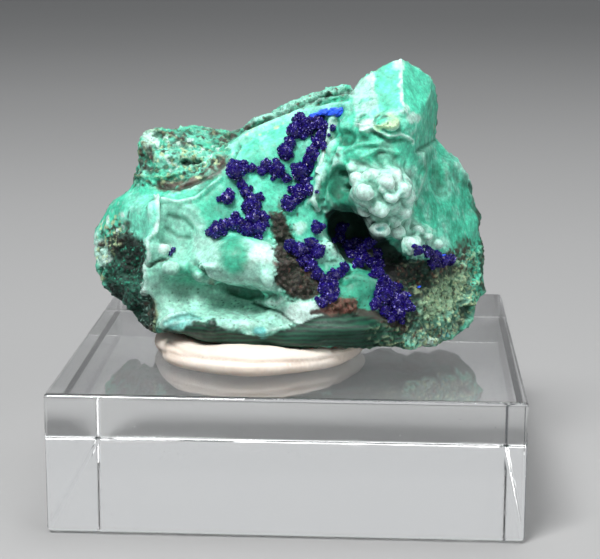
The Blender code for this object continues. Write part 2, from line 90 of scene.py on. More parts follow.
# Small growths: place, half width and height, half depth, how far it stands out, all in px, turn
LUMPS = {
    "white bead": ((165, 249), (6.5, 5.5), 5.5, 3.0, 0),
    "smooth knob": ((171, 268), (10, 7.5), 7.0, 1.5, 0),
    "green knob": ((212, 324), (4.5, 4.5), 4.5, 2.5, 0),
    "banded lens": ((176, 320), (16, 9), 5.0, 0.0, 18),
    "lobe tip": ((268, 279), (7, 9), 7.0, 3.0, 20),
    "lobe ledge": ((209, 266), (15, 3.5), 5.0, 2.0, 0),
    "translucent lump": ((368, 104), (11, 8.5), 9.0, 3.0, 0),
    "white lump": ((364, 121), (8.5, 9), 9.0, 3.5, 0),
    "pitted band": ((386, 122), (14, 8), 7.0, 2.0, -18),
    "bunch one": ((365, 192), (9, 8.5), 9.0, 1.8, 0),
    "bunch two": ((379, 208), (10.5, 9.5), 10.0, 2.2, 0),
    "bunch three": ((392, 196), (9, 8), 9.0, 1.8, 0),
    "bunch four": ((405, 210), (8, 11), 9.0, 1.8, -25),
    "bunch five": ((386, 184), (9, 9), 9.0, 1.6, 0),
    "bunch six": ((371, 176), (8, 8), 8.0, 1.4, 0),
    "bunch seven": ((356, 179), (6.5, 6), 6.0, 1.4, 0),
    "bunch eight": ((394, 220), (8, 6), 7.0, 1.6, 0),
    "bunch nine": ((351, 166), (6, 5), 6.0, 1.1, 0),
    "bunch ten": ((404, 190), (8, 9), 8.0, 1.4, 0),
    "ring bubble": ((380, 230), (10.5, 7.5), 8.0, 4.0, 0),
    "nodule": ((410, 245), (9.5, 9.5), 9.5, 4.5, 0),
    "shelf bit one": ((399, 233), (7, 6), 6.0, 3.5, 0),
    "shelf bit two": ((418, 231), (6.5, 5), 6.0, 3.0, 0),
    "shelf bit three": ((428, 237), (6, 4.5), 5.0, 2.5, 20),
    "shelf bit four": ((438, 244), (6, 4), 5.0, 2.0, 30),
    "crest bead one": ((334, 117), (5, 6), 5.0, -1.0, 0),
    "crest bead two": ((329, 140), (4.5, 7), 5.0, -1.0, 0),
    "crest bead three": ((322, 160), (5, 7), 5.0, -1.0, 10),
    "crest bead four": ((317, 184), (4.5, 7), 5.0, -1.0, 10),
    "crest bead five": ((312, 201), (4.5, 6), 5.0, -1.0, 0),
    "pebble one": ((331, 302), (4, 3), 4.0, 2.2, 0),
    "pebble two": ((339, 306), (3.8, 3), 4.0, 2.6, 20),
    "pebble three": ((348, 302), (4.5, 3.2), 4.0, 2.2, -10),
    "pebble four": ((352, 309), (3.4, 2.8), 4.0, 2.6, 0),
    "turquoise drop": ((261, 332), (7, 5), 4.0, 1.5, -10),
    "pale tip": ((97, 279), (6, 3.5), 4.0, 1.0, -10),
    "lower tip": ((430, 341), (10, 6), 6.0, 1.5, 0),
}

# Ridges: height in mm, half width in px, line
RIDGES = {
    "left edge": (0.32, 2.5, ((157, 200), (158, 219), (155, 231), (147, 241), (149, 255), (146, 268),
        (146, 283), (144, 296))),
    "brow of the sheet": (0.3, 3.5, ((157, 200), (178, 202), (195, 199), (207, 190), (219, 178))),
    "crest": (0.35, 5, ((230, 148), (250, 135), (270, 125), (300, 113), (350, 105))),
    "pale crest": (0.4, 4, ((333, 118), (328, 140), (322, 160), (318, 185), (312, 200), (318, 210))),
    "brow of the cavity": (0.35, 3.5, ((325, 212), (332, 205), (340, 207), (352, 208), (368, 213))),
    "fold under the block": (0.4, 3, ((362, 130), (374, 128), (386, 135), (400, 134), (413, 142))),
    "first fold": (0.3, 3, ((346, 152), (362, 144), (380, 144))),
    "second fold": (0.3, 3, ((362, 158), (380, 149), (398, 152))),
    "lit rim": (0.1, 3, ((166, 326), (196, 321), (214, 331), (240, 334), (262, 333), (294, 324))),
    "edge of the side": (0.25, 3, ((428, 82), (426, 110), (416, 130), (421, 142), (424, 170), (416, 198))),
    "facet edge": (0.2, 3, ((372, 70), (374, 96), (378, 110))),
    "shelf edge": (0.25, 3, ((141, 133), (160, 131), (178, 139), (196, 152), (214, 153))),
    "shelf edge below": (0.25, 3, ((136, 176), (160, 178), (186, 172), (214, 160), (230, 148))),
}

# Creases and cracks: depth in mm, half width in px, line
CREASES = {
    "crack in the crest": (0.3, 2.2, ((232, 162), (237, 151), (240, 146))),
    "gap behind the crest": (0.4, 3.5, ((250, 130), (285, 111), (322, 97), (350, 89))),
    "brown crack": (0.35, 2.5, ((149, 266), (158, 261), (166, 259))),
    "thin crack": (0.2, 1.6, ((252, 303), (267, 308), (280, 312), (289, 319), (296, 326))),
    "under the lobe": (0.7, 6, ((195, 264), (205, 281), (225, 289), (250, 295), (275, 298))),
    "brown strip": (0.3, 3.5, ((160, 187), (180, 188), (200, 180), (226, 161))),
    "below the block": (0.3, 3, ((374, 133), (388, 141), (402, 140))),
    "beside the crest": (0.3, 4, ((338, 122), (335, 142), (329, 162), (326, 184), (322, 202))),
    "soft wrinkle one": (0.12, 4, ((170, 215), (182, 219), (192, 228))),
    "soft wrinkle two": (0.12, 4, ((180, 208), (192, 214), (200, 224))),
    "soft wrinkle three": (0.1, 4, ((166, 228), (178, 236), (188, 238))),
    "lens band": (0.1, 1.6, ((164, 323), (176, 317), (189, 316))),
    "slope dark line": (0.15, 2, ((228, 293), (248, 299), (262, 306), (276, 310))),
}

# Round dents: depth in mm, place and half sizes in px
DENTS = {
    "left pit": (0.9, (185, 162), (5, 3.5)),
    "right pit": (0.9, (196, 162), (6, 3.2)),
    "scoop hole": (0.7, (345, 187), (4, 4)),
    "scoop hole above": (0.5, (343, 175), (3.5, 3)),
    "green hollow": (0.4, (344, 138), (11, 9)),
    "green hollow beside": (0.15, (363, 139), (6, 5)),
    "scoop": (0.4, (338, 184), (12, 19)),
    "ring middle": (0.35, (381, 229), (6, 3.5)),
    "wedge on the left": (0.6, (99, 268), (7, 8)),
    "wedge on the right": (0.6, (468, 313), (8, 7)),
    "brown pit": (0.4, (150, 304), (5, 9)),
}

# Broken, grainy ground: height of the grain in mm and outline
GRAINY = {
    "shelf": (0.24, ((135, 122), (186, 118), (232, 127), (230, 160), (190, 176), (160, 190), (132, 186))),
    "left patch": (0.3, ((92, 240), (112, 228), (134, 230), (146, 244), (144, 290), (162, 336), (130, 318),
        (100, 290))),
    "brown band": (0.46, ((268, 214), (284, 210), (300, 250), (322, 290), (318, 300), (292, 302),
        (276, 292), (274, 250))),
    "lower right": (0.3, ((398, 262), (440, 262), (482, 240), (486, 310), (440, 350), (360, 352),
        (366, 330), (400, 312))),
    "dark shelf": (0.26, ((384, 252), (455, 250), (458, 280), (400, 296))),
    "rear rim": (0.26, ((230, 118), (300, 90), (352, 78), (352, 98), (300, 108), (240, 134))),
    "pebbles": (0.2, ((322, 298), (358, 296), (360, 314), (330, 314))),
}

# Knobbly ground of the white bunch: height in mm and outline
KNOBBLY = {
    "bunch": (0.22, ((344, 152), (380, 146), (416, 164), (416, 218), (446, 246), (412, 258), (392, 238),
        (370, 240), (362, 216), (346, 200))),
    "pale crest": (0.22, ((324, 112), (340, 114), (336, 150), (328, 200), (322, 214), (306, 208),
        (314, 176), (320, 140))),
    "block foot": (0.16, ((352, 96), (376, 98), (408, 116), (412, 140), (352, 150), (340, 130))),
    "islands": (0.12, ((310, 232), (344, 236), (380, 272), (380, 312), (340, 312), (312, 270))),
    "middle": (0.1, ((276, 200), (322, 200), (322, 244), (284, 240))),
}

# Ground colours of the front, laid one over the other: colour, share, softness in px, outline
FIELDS = {
    "upper face": ("mint", 0.5, 14, ((200, 200), (236, 150), (300, 112), (350, 104), (335, 120), (318, 180),
        (300, 210), (240, 235), (205, 235))),
    "left pale bands": ("pale mint", 0.55, 8, ((128, 192), (158, 196), (158, 222), (144, 244), (118, 240))),
    "sheet": ("milk", 0.6, 8, ((158, 203), (196, 202), (206, 225), (200, 264), (166, 278), (148, 300),
        (148, 245), (156, 231))),
    "lower slope": ("white", 0.5, 12, ((148, 280), (200, 284), (225, 292), (290, 298), (326, 300),
        (300, 328), (262, 335), (214, 330), (165, 330), (146, 320))),
    "lens": ("turquoise", 0.6, 4, ((162, 322), (176, 313), (192, 312), (201, 318), (190, 326), (170, 332))),
    "slope shade": ("grey green", 0.5, 10, ((150, 268), (198, 276), (226, 292), (280, 302), (276, 310),
        (230, 302), (190, 296), (152, 312))),
    "lobe": ("milk", 0.85, 7, ((194, 234), (216, 240), (252, 240), (276, 243), (288, 262), (282, 292),
        (250, 291), (222, 285), (202, 275), (194, 258))),
    "green ground": ("green", 0.45, 12, ((206, 186), (240, 186), (238, 222), (214, 232), (200, 216))),
    "middle mint": ("mint", 0.8, 6, ((283, 204), (318, 206), (322, 240), (296, 242), (284, 232))),
    "tongue": ("white", 0.9, 4, ((280, 313), (300, 300), (322, 302), (330, 312), (302, 327), (287, 321))),
    "shelf ground": ("green", 0.3, 8, ((140, 122), (188, 120), (234, 134), (228, 150), (200, 152),
        (176, 146), (150, 150), (138, 170))),
    "shelf light": ("pale mint", 0.6, 10, ((166, 150), (198, 150), (232, 154), (222, 166), (196, 178),
        (166, 172))),
    "shelf corner": ("white", 0.75, 5, ((141, 132), (162, 131), (158, 144), (142, 150))),
    "rear rim": ("milk", 0.65, 6, ((236, 128), (258, 114), (300, 94), (344, 84), (350, 92), (300, 108),
        (262, 124))),
    "block left": ("milk", 0.85, 3, ((353, 82), (364, 71), (374, 68), (374, 100), (356, 112), (350, 98))),
    "block middle": ("mint", 0.8, 3, ((373, 68), (400, 58), (401, 92), (404, 108), (378, 112))),
    "block right": ("mint", 0.9, 3, ((402, 57), (429, 74), (426, 110), (408, 132), (404, 108))),
    "block side": ("green", 0.5, 3, ((429, 74), (441, 84), (441, 130), (428, 166), (416, 200), (424, 168),
        (419, 138), (427, 112))),
    "under the block": ("mint", 0.8, 5, ((336, 122), (400, 134), (416, 142), (418, 168), (392, 160),
        (350, 158), (334, 140))),
    "bunch": ("milk", 0.8, 6, ((350, 158), (378, 164), (398, 166), (414, 172), (413, 216), (428, 232),
        (444, 246), (412, 257), (396, 236), (372, 236), (364, 214), (350, 198))),
    "grey facet": ("grey green", 0.6, 3, ((378, 142), (392, 142), (398, 168), (378, 162))),
    "scoop": ("green", 0.75, 4, ((326, 164), (350, 166), (352, 206), (326, 210), (322, 196))),
    "right slope": ("green", 0.3, 10, ((420, 150), (446, 148), (470, 180), (480, 215), (478, 250),
        (440, 238), (418, 214))),
    "right granules": ("grey green", 0.8, 9, ((400, 276), (440, 270), (482, 246), (484, 306), (438, 348),
        (396, 340), (402, 312))),
    "granule lights": ("cream", 0.5, 10, ((428, 282), (456, 262), (468, 272), (462, 300), (440, 318),
        (424, 322), (420, 300))),
    "right edge": ("mint", 0.85, 4, ((466, 214), (482, 216), (486, 300), (474, 312), (470, 270))),
    "strand ground": ("black", 0.9, 4, ((392, 262), (420, 264), (428, 284), (412, 298), (421, 316),
        (408, 332), (388, 330), (396, 304), (384, 282))),
    "green island": ("milk", 0.5, 4, ((316, 240), (340, 240), (344, 262), (330, 268), (316, 262))),
    "bright island": ("green", 0.9, 4, ((342, 272), (366, 270), (378, 288), (374, 310), (350, 311),
        (338, 294))),
    "dark base": ("deep green", 0.97, 2, ((158, 328), (180, 331), (192, 325), (198, 321), (208, 325),
        (222, 328), (236, 332), (254, 337), (269, 334), (294, 328), (319, 317), (344, 313), (373, 317),
        (402, 330), (406, 350), (372, 355), (330, 346), (294, 356), (225, 354), (180, 344))),
    "strip above the base": ("brown", 0.95, 1.5, ((311, 309), (336, 309), (358, 308), (376, 310),
        (392, 317), (410, 326), (402, 336), (384, 326), (368, 318), (346, 315), (326, 316), (311, 315))),
    "left dark ground": ("black", 0.85, 4, ((114, 234), (128, 232), (143, 242), (144, 264), (140, 276),
        (126, 272), (114, 256))),
    "left dark patch": ("deep green", 0.85, 5, ((112, 238), (128, 236), (142, 240), (146, 262), (144, 286),
        (156, 316), (158, 336), (140, 330), (124, 306), (108, 286), (104, 264))),
    "left pale patch": ("white", 0.7, 4, ((94, 240), (108, 238), (110, 262), (100, 268), (92, 258))),
    # Painted shade: black over the recess of the cavity, under the block's overhang
    "cavity": ("black", 0.97, 3, ((324, 214), (334, 207), (352, 209), (370, 215), (386, 238), (404, 258),
        (396, 276), (372, 272), (344, 262), (330, 240))),
    # Black of the shelf's brown crust together with painted shade under the ring bubble and the nodule
    "dark shelf": ("black", 0.88, 5, ((384, 256), (412, 258), (452, 262), (462, 270), (442, 282),
        (426, 294), (418, 308), (398, 298), (386, 278))),
    "brown band": ("brown", 0.97, 3, ((268, 212), (282, 212), (294, 240), (304, 256), (322, 282),
        (318, 298), (290, 298), (276, 282), (277, 250))),
    "pebble ground": ("rust", 0.95, 3, ((322, 298), (356, 298), (358, 313), (332, 316), (318, 310))),
}

# Strokes of colour: colour, share, half width in px, line
STROKES = {
    "lit crest": ("pale mint", 0.8, 5, ((232, 150), (252, 136), (272, 126), (302, 114), (350, 106))),
    "gap behind the crest": ("brown", 0.65, 3, ((262, 123), (290, 108), (322, 97), (352, 88))),
    "gap end": ("black", 0.8, 4, ((322, 96), (350, 92))),
    "rim brown": ("brown", 0.95, 6, ((212, 134), (224, 141), (240, 130), (252, 125))),
    "shelf brown": ("brown", 0.95, 6, ((166, 136), (178, 139), (188, 144))),
    "shelf strip": ("light brown", 0.9, 6, ((158, 186), (178, 185), (204, 178), (226, 161))),
    "shelf strip dark": ("brown", 0.9, 3.5, ((160, 187), (182, 188), (206, 179), (224, 164))),
    "shelf left": ("black", 0.95, 9, ((138, 152), (137, 164), (134, 174))),
    "shelf left brown": ("brown", 0.8, 9, ((148, 152), (150, 166))),
    "left brown": ("brown", 0.85, 4, ((101, 246), (110, 240), (120, 229), (128, 224))),
    "left brown below": ("brown", 0.7, 5, ((112, 246), (124, 240))),
    "left lower edge": ("black", 0.85, 5, ((97, 268), (104, 284), (118, 296), (130, 314), (146, 330))),
    "left pits": ("rust", 0.6, 4, ((148, 300), (152, 312), (150, 326))),
    "left pits pale": ("cream", 0.6, 2.5, ((153, 302), (156, 318), (154, 330))),
    "brown crack": ("brown", 0.95, 2.2, ((149, 266), (158, 261), (166, 259))),
    "thin crack": ("deep green", 0.8, 1.2, ((252, 303), (267, 308), (280, 312), (289, 319), (296, 326))),
    "slope line": ("dark green", 0.6, 1.8, ((228, 293), (248, 299), (262, 306))),
    # Painted highlight: a white line where the left edge catches the light
    "lit left ridge": ("white", 0.7, 2.5, ((157, 200), (158, 219), (155, 231), (147, 241), (149, 255),
        (146, 268), (146, 283), (144, 294))),
    "lens line": ("dark green", 0.5, 1.2, ((165, 323), (175, 316), (188, 314), (198, 317))),
    "lens light": ("white", 0.5, 1.5, ((168, 327), (178, 321), (190, 319))),
    "pale crest": ("white", 0.8, 3.5, ((333, 118), (328, 140), (322, 160), (318, 185), (313, 200))),
    "pale crest foot": ("white", 0.7, 3, ((313, 200), (318, 210))),
    "block ridge": ("white", 0.85, 2.2, ((401, 58), (400, 79), (401, 92), (406, 106), (408, 116))),
    "block left edge": ("white", 0.6, 1.8, ((372, 70), (374, 96))),
    "fold": ("white", 0.7, 2, ((362, 130), (374, 128), (386, 136), (400, 134), (412, 142))),
    # Painted shade: a dark line under the brow of the cavity
    "cavity brow": ("deep green", 0.8, 2.5, ((326, 212), (333, 205), (352, 208), (370, 215))),
    "right rim": ("deep green", 0.9, 5, ((470, 186), (480, 212), (484, 240), (484, 286))),
    "right rim brown": ("brown", 0.6, 3.5, ((476, 205), (483, 240), (484, 290))),
    "rust shelf": ("brown", 0.95, 9, ((444, 264), (454, 256), (464, 244))),
    "rust edge": ("rust", 0.65, 4, ((446, 336), (456, 328), (466, 318))),
    "lower right wedge": ("deep green", 0.85, 5, ((458, 318), (470, 310), (480, 304))),
    "brown patch": ("brown", 0.6, 4, ((414, 332), (426, 328), (436, 330))),
    "base top edge": ("black", 0.6, 1.6, ((180, 331), (198, 322), (236, 333), (254, 338), (294, 329),
        (326, 316), (346, 315), (373, 319))),
    "dark leaf": ("deep green", 0.85, 3.5, ((222, 333), (232, 331), (241, 334))),
}

# Spots of colour: colour, share, place and half sizes in px
SPOTS = {
    "blotch in the lobe": ("green", 0.95, (234, 256), (16, 22)),
    "blotch heart": ("green", 0.8, (233, 253), (9, 15)),
    "white of the lobe": ("white", 0.8, (264, 254), (14, 10)),
    "lobe mark": ("dark green", 0.5, (222, 272), (3, 2)),
    "lobe mark above": ("grey green", 0.5, (218, 255), (3, 2.5)),
    "lobe shade": ("light brown", 0.25, (248, 264), (9, 7)),
    "white bead": ("white", 0.9, (165, 249), (7, 6)),
    "granules": ("green", 0.7, (187, 269), (9, 7)),
    "green knob": ("deep green", 0.9, (212, 324), (5.5, 5)),
    "turquoise": ("turquoise", 0.9, (261, 332), (8, 6)),
    "turquoise right": ("turquoise", 0.8, (445, 335), (6, 5)),
    "pale tip right": ("white", 0.8, (429, 342), (10, 6)),
    "pale tip left": ("cream", 0.9, (97, 279), (7, 4)),
    "left pit": ("black", 0.95, (185, 162), (5, 3)),
    "right pit": ("black", 0.95, (196, 162), (6, 2.8)),
    "translucent lump": ("milk", 0.7, (368, 104), (11, 9)),
    "white lump": ("white", 0.95, (364, 121), (9, 10)),
    "pitted band": ("yellow green", 0.75, (386, 122), (15, 8)),
    "flat of the bunch": ("white", 0.8, (395, 181), (9, 9)),
    "block peak": ("white", 0.6, (398, 64), (7, 6)),
    "block low white": ("white", 0.7, (414, 118), (8, 6)),
    "scoop hole": ("deep green", 0.95, (345, 187), (4.5, 4)),
    "scoop hole above": ("dark green", 0.8, (343, 175), (4, 3)),
    "hollow": ("green", 0.85, (344, 138), (12, 10)),
    "hollow heart": ("dark green", 0.6, (342, 141), (6, 5)),
    "scoop shade": ("dark green", 0.35, (340, 190), (9, 14)),
    "crest brown": ("brown", 0.9, (325, 153), (3.5, 2.8)),
    "crest brown beside": ("brown", 0.8, (336, 155), (3, 2.5)),
    "ring middle": ("turquoise", 0.6, (381, 229), (6, 4)),
    "nodule": ("grey green", 0.4, (410, 249), (9, 7)),
    "mint heart": ("white", 0.6, (299, 228), (7, 8)),
    "island dark spot": ("dark green", 0.8, (331, 262), (6, 2)),
    "tongue brown": ("brown", 0.8, (316, 311), (4, 2)),
    "right pale patch": ("milk", 0.7, (441, 243), (9, 7)),
    "brown at the middle": ("brown", 0.7, (278, 207), (3, 4)),
}

# Speckled ground: fleck colour, share of flecks, fleck size in mm, softness in px, outline
SPECKLED = {
    "shelf": ("brown", 0.17, 0.55, 8, ((134, 122), (232, 124), (234, 150), (205, 182), (160, 194),
        (130, 188))),
    "shelf white": ("white", 0.28, 0.7, 6, ((140, 128), (196, 138), (232, 146), (210, 168), (166, 176),
        (144, 160))),
    "shelf brown left": ("brown", 0.4, 0.5, 4, ((128, 142), (154, 146), (158, 170), (132, 180))),
    "shelf brown top": ("brown", 0.34, 0.5, 4, ((158, 128), (190, 130), (198, 150), (166, 146))),
    "shelf brown below": ("brown", 0.36, 0.4, 3, ((156, 178), (184, 174), (216, 160), (222, 168),
        (190, 190), (158, 192))),
    "shelf dark": ("dark green", 0.22, 0.7, 8, ((134, 122), (232, 124), (234, 150), (205, 182), (160, 192),
        (130, 188))),
    "shelf cream": ("cream", 0.24, 0.45, 8, ((150, 140), (232, 148), (205, 182), (158, 184))),
    "left white": ("white", 0.34, 0.8, 5, ((92, 222), (122, 206), (128, 226), (110, 240), (112, 264),
        (92, 264))),
    "left pale": ("cream", 0.36, 0.4, 5, ((92, 226), (120, 212), (128, 230), (112, 262), (94, 268))),
    "left brown": ("brown", 0.34, 0.45, 5, ((100, 226), (130, 210), (134, 234), (112, 252), (98, 250))),
    "brown specks": ("brown", 0.22, 0.25, 5, ((268, 194), (300, 198), (308, 236), (290, 242), (272, 214))),
    "crest specks": ("cream", 0.26, 0.4, 5, ((226, 152), (262, 122), (302, 108), (296, 122), (252, 140),
        (234, 158))),
    "left dark": ("black", 0.45, 0.3, 5, ((108, 236), (144, 240), (146, 290), (160, 336), (128, 318),
        (102, 286))),
    "left sparkle": ("green", 0.22, 0.22, 5, ((108, 240), (144, 244), (146, 290), (128, 296), (108, 284))),
    "left edge sparkle": ("milk", 0.16, 0.2, 4, ((140, 292), (160, 300), (160, 334), (140, 326))),
    "rear rim": ("light brown", 0.2, 0.4, 5, ((234, 126), (300, 92), (352, 82), (350, 98), (262, 128))),
    "right pale": ("cream", 0.4, 0.3, 7, ((430, 284), (452, 270), (476, 250), (480, 308), (438, 350),
        (372, 352), (402, 338), (424, 320), (424, 300))),
    "right dark": ("dark green", 0.34, 0.35, 9, ((392, 280), (440, 268), (484, 230), (486, 310), (438, 350),
        (360, 352), (372, 328), (398, 312))),
    "right rust": ("brown", 0.42, 0.5, 4, ((446, 246), (470, 236), (478, 262), (458, 276))),
    "low rust": ("rust", 0.3, 0.4, 5, ((412, 328), (440, 326), (450, 334), (430, 342), (410, 338))),
    "right brown": ("brown", 0.22, 0.3, 8, ((396, 262), (450, 262), (478, 240), (480, 310), (438, 350),
        (372, 352), (396, 312))),
    "brown band": ("black", 0.28, 0.5, 4, ((268, 212), (284, 210), (322, 286), (300, 302), (274, 290))),
    "band lights": ("light brown", 0.18, 0.7, 4, ((268, 214), (288, 214), (322, 286), (300, 302),
        (276, 290))),
    "pebbles": ("light brown", 0.4, 0.35, 3, ((322, 298), (358, 298), (358, 314), (320, 312))),
    "island": ("dark green", 0.2, 0.22, 4, ((316, 238), (344, 240), (344, 268), (316, 266))),
    "bright island": ("dark green", 0.14, 0.2, 4, ((340, 270), (378, 272), (378, 311), (342, 311))),
    "pitted band": ("dark green", 0.14, 0.2, 3, ((374, 112), (402, 120), (398, 134), (374, 126))),
    "dark shelf": ("rust", 0.2, 0.35, 5, ((386, 262), (458, 250), (468, 262), (400, 296))),
    "slope dust": ("dark green", 0.06, 0.16, 6, ((150, 272), (300, 300), (296, 328), (150, 330))),
}

# Azurite balls of each CAD node: place and radius in px
BALLS = {
    "azurite_cluster_upper": ((300, 118, 6), (295, 131, 9), (308, 126, 9), (318, 123, 8), (325, 128, 7),
        (322, 137, 6.5), (318, 144, 7), (313, 152, 7), (310, 160, 7), (290, 143, 6), (285, 151, 8),
        (301, 172, 10), (306, 182, 6), (310, 190, 6), (300, 193, 9), (295, 200, 6), (289, 204, 8),
        (286, 178, 5), (277, 170, 8.5), (265, 165, 5), (262, 171, 5), (252, 168, 4.5), (246, 169, 4),
        (236, 170, 10.5)),
    "azurite_ball_left": ((227.5, 198, 7), (219, 199, 3)),
    "azurite_cluster_middle": ((241, 184, 5), (246, 192, 6), (251, 199, 6), (259, 197, 4.5), (257, 205, 5),
        (249, 207, 8), (254, 218, 9), (263, 218, 6), (236, 215, 4), (240, 224, 7), (232, 224, 7),
        (224, 226, 6), (216, 231, 8), (248, 230, 8), (258, 228, 8), (264, 223, 5), (259, 237, 4)),
    "azurite_ball_right": ((317, 228, 6.5),),
    "azurite_cluster_lower": ((290, 246, 7), (300, 250, 8), (311, 243, 6), (318, 252, 7), (305, 260, 7),
        (312, 265, 6), (318, 274, 6), (326, 281, 7), (336, 275, 6), (345, 268, 5), (325, 289, 8),
        (333, 285, 6), (330, 296, 8), (322, 302, 6)),
    "azurite_cavity_crust": ((348, 246, 6), (356, 242, 5), (362, 250, 6), (352, 256, 6), (358, 264, 6),
        (366, 258, 5), (372, 264, 6), (378, 274, 7), (384, 284, 8), (385, 295, 10), (395, 301, 9),
        (376, 304, 6), (398, 313, 8), (408, 306, 6), (339, 238, 6), (341, 228, 6), (370, 243, 6),
        (378, 254, 5), (393, 289, 7), (403, 297, 6), (385, 311, 6), (391, 318, 5), (379, 264, 5)),
    "azurite_cluster_right": ((418, 250, 5), (427, 252, 6), (435, 257, 7), (443, 260, 6.5), (451, 259, 5),
        (432, 262, 5)),
}
BALL_GROWTH = 1.04
SMALL_AZURITE = ((170, 254, 2.4), (173, 250, 2.6))

# Smaller balls beside each ball: how many, and their size and distance as shares of its radius
SMALL_BALLS = 3
SMALL_SHARE = (0.28, 0.5)
SMALL_AWAY = (0.75, 1.15)

# A ball's shift towards the eye and off the skin, and its core, as shares of its radius
BALL_PROUD = 0.35
BALL_OFF_SKIN = 0.1
CORE_SHARE = 0.86
CORE_SWELL = 0.22

# The core's bumps in waves a mm, the fineness of its mesh, and its brightness
CORE_WAVES = 1.9
CORE_DETAIL = 2
CORE_SPARK = 0.1

# Blades of a ball: number on a ball of the usual radius in mm, size in mm, and their places
BLADES_PER_BALL = 300
USUAL_RADIUS = 0.7
BLADE_MM = (0.03, 0.08)
BLADE_ROOT = (0.80, 0.96)
GOLDEN_TURN = 2.39996
BLADE_SHIFT = (-0.3, 0.3)
HIDDEN_SIDE = 0.75
BURIED = 0.8

# Form of one blade: lean, half width, half thickness, half height, and its corners in those halves
BLADE_LEAN = (-0.5, 0.5)
BLADE_WIDE = (0.7, 1.2)
BLADE_THIN = (0.22, 0.4)
BLADE_TALL = (0.8, 1.4)
BLADE_CORNERS = (
    (-1, -1, -1), (1, -1, -1), (1, 1, -1), (-1, 1, -1), (-1, -1, 0.4), (1, -1, 0.2), (1, 1, 0.2),
    (-1, 1, 0.4), (0.1, -0.5, 1), (0.1, 0.5, 1),
)
BLADE_FACES = (
    (3, 2, 1, 0), (0, 1, 5, 4), (1, 2, 6, 5), (2, 3, 7, 6), (3, 0, 4, 7), (4, 5, 8), (5, 6, 9, 8),
    (6, 7, 9), (7, 4, 8, 9),
)

# Bright blue blades of a CAD node, their colour a painted glint: size beside the largest, places in px
BRIGHT_BLADES = {
    "azurite_cluster_upper": (1.35, ((313, 120), (317, 118), (321, 116), (325, 115), (330, 114), (336, 113),
        (342, 112))),
    "azurite_cluster_right": (0.5, ((449, 257), (441, 254))),
    "azurite_cavity_crust": (0.35, ((418, 289), (410, 297))),
}

# Form of a bright blade: number at a place, and shift, turn and size beside the largest
BRIGHT_COUNT = 3
BRIGHT_SHIFT = ((-0.2, 0.2), (-0.2, 0.1), (-0.1, 0.15))
BRIGHT_TURN = ((-0.3, 0.3), (-0.5, 0.1), (-0.4, 0.4))
BRIGHT_LENGTH = (0.35, 0.6)
BRIGHT_WIDTH = 0.22
BRIGHT_HEIGHT = (0.1, 0.2)
BRIGHT_PROUD = 0.2
# Spark of the bright blades, which gives them the bright blue painted glint
BRIGHT_SPARK = 2.0

# Flat broken faces of the upper block, each through three points in mm, and their lowest height
FACETS = {
    "left face": ((9.2, -3.5, 38.4), (6.1, -5.0, 36.9), (9.5, -8.9, 34.4), 33.8),
    "right face": ((9.2, -3.5, 38.4), (9.5, -8.9, 34.4), (11.7, -0.5, 36.7), 33.8),
    "pale side": ((6.1, -5.0, 36.9), (4.9, -5.6, 35.6), (6.9, -9.4, 33.1), 33.4),
    "right side": ((12.7, 1.0, 36.0), (11.2, -5.2, 34.1), (12.4, 1.0, 30.4), 30.6),
}
FACET_REACH_X = 4.8

# Corners of the upper block, in mm
BLOCK_CORNERS = (
    (9.2, -3.5, 38.5), (6.1, -5.0, 37.0), (4.9, -5.6, 35.7), (9.5, -8.9, 34.5), (6.9, -9.4, 33.2),
    (11.6, -0.5, 36.7), (12.4, 0.8, 35.6), (11.2, -5.1, 34.2), (12.2, 1.0, 30.6), (4.6, -6.0, 33.6),
    (11.2, -5.7, 30.0), (9.4, -8.3, 31.0), (7.0, -8.4, 31.5), (10.5, 4.0, 33.5), (6.4, 3.0, 33.5),
)

# Noises of the stone and the putty: size of the waves in mm, seed
NOISES = {
    "coarse grain": (0.9, 1),
    "medium grain": (0.45, 2),
    "fine grain": (0.24, 3),
    "relief across": (1.6, 4),
    "relief down": (1.6, 5),
    "broad": (5.0, 6),
    "mottle": (1.5, 7),
    "small": (0.5, 8),
    "wander across": (1.2, 9),
    "wander down": (1.2, 10),
    "fray across": (0.4, 11),
    "fray down": (0.4, 12),
    "knobs": (1.5, 13),
    "vein": (2.4, 14),
    "putty waves": (2.6, 30),
    "putty grain": (0.9, 31),
}
FLECK_SEED = 20
SEED_SHIFT = (17.3, -9.1, 5.7)

# How far lines and fields wander with the noises, in px
RELIEF_WANDER = 1.6
PAINT_WANDER = 3.0
PAINT_FRAY = 1.8

# How soft the edges of fields are, in px, and of spots and strokes, as shares of their half width
GRAIN_EDGE = 10.0
KNOB_EDGE = 8.0
BUNCH_EDGE = 8.0
BAND_EDGE = 6.0
STREAK_EDGE = 14.0
SPOT_EDGE = (0.6, 1.2)
STROKE_EDGE = (0.3, 1.3)

# Farther than any two places in the photograph, in px
FAR_PX = 1e9

# Coats of the whole stone and of its back: colour, weights of the noises, start, full, strength
COATS = (
    ("green", {"broad": 1.0, "mottle": 0.5}, 0.0, 0.3, 0.4),
    ("pale mint", {"mottle": 1.0, "broad": -0.6}, 0.05, 0.3, 0.55),
    ("white", {"small": 1.0, "mottle": 0.4}, 0.3, 0.5, 0.3),
    ("green", {"vein": -1.0}, -0.06, -0.01, 0.5),
)
BACK_COATS = (
    ("grey green", {"broad": 1.0}, -0.2, 0.3, 0.5),
    ("brown", {"broad": 1.0, "mottle": 0.6, "small": 0.3}, 0.12, 0.3, 0.9),
    ("deep green", {"mottle": 0.6, "broad": -1.0, "small": 0.4}, 0.22, 0.4, 0.85),
    ("cream", {"mottle": 1.0, "small": 1.0}, 0.45, 0.6, 0.5),
)
DARK_FOOT_Z = 16.5
DARK_FOOT = (-1.0, 1.5, 0.8)
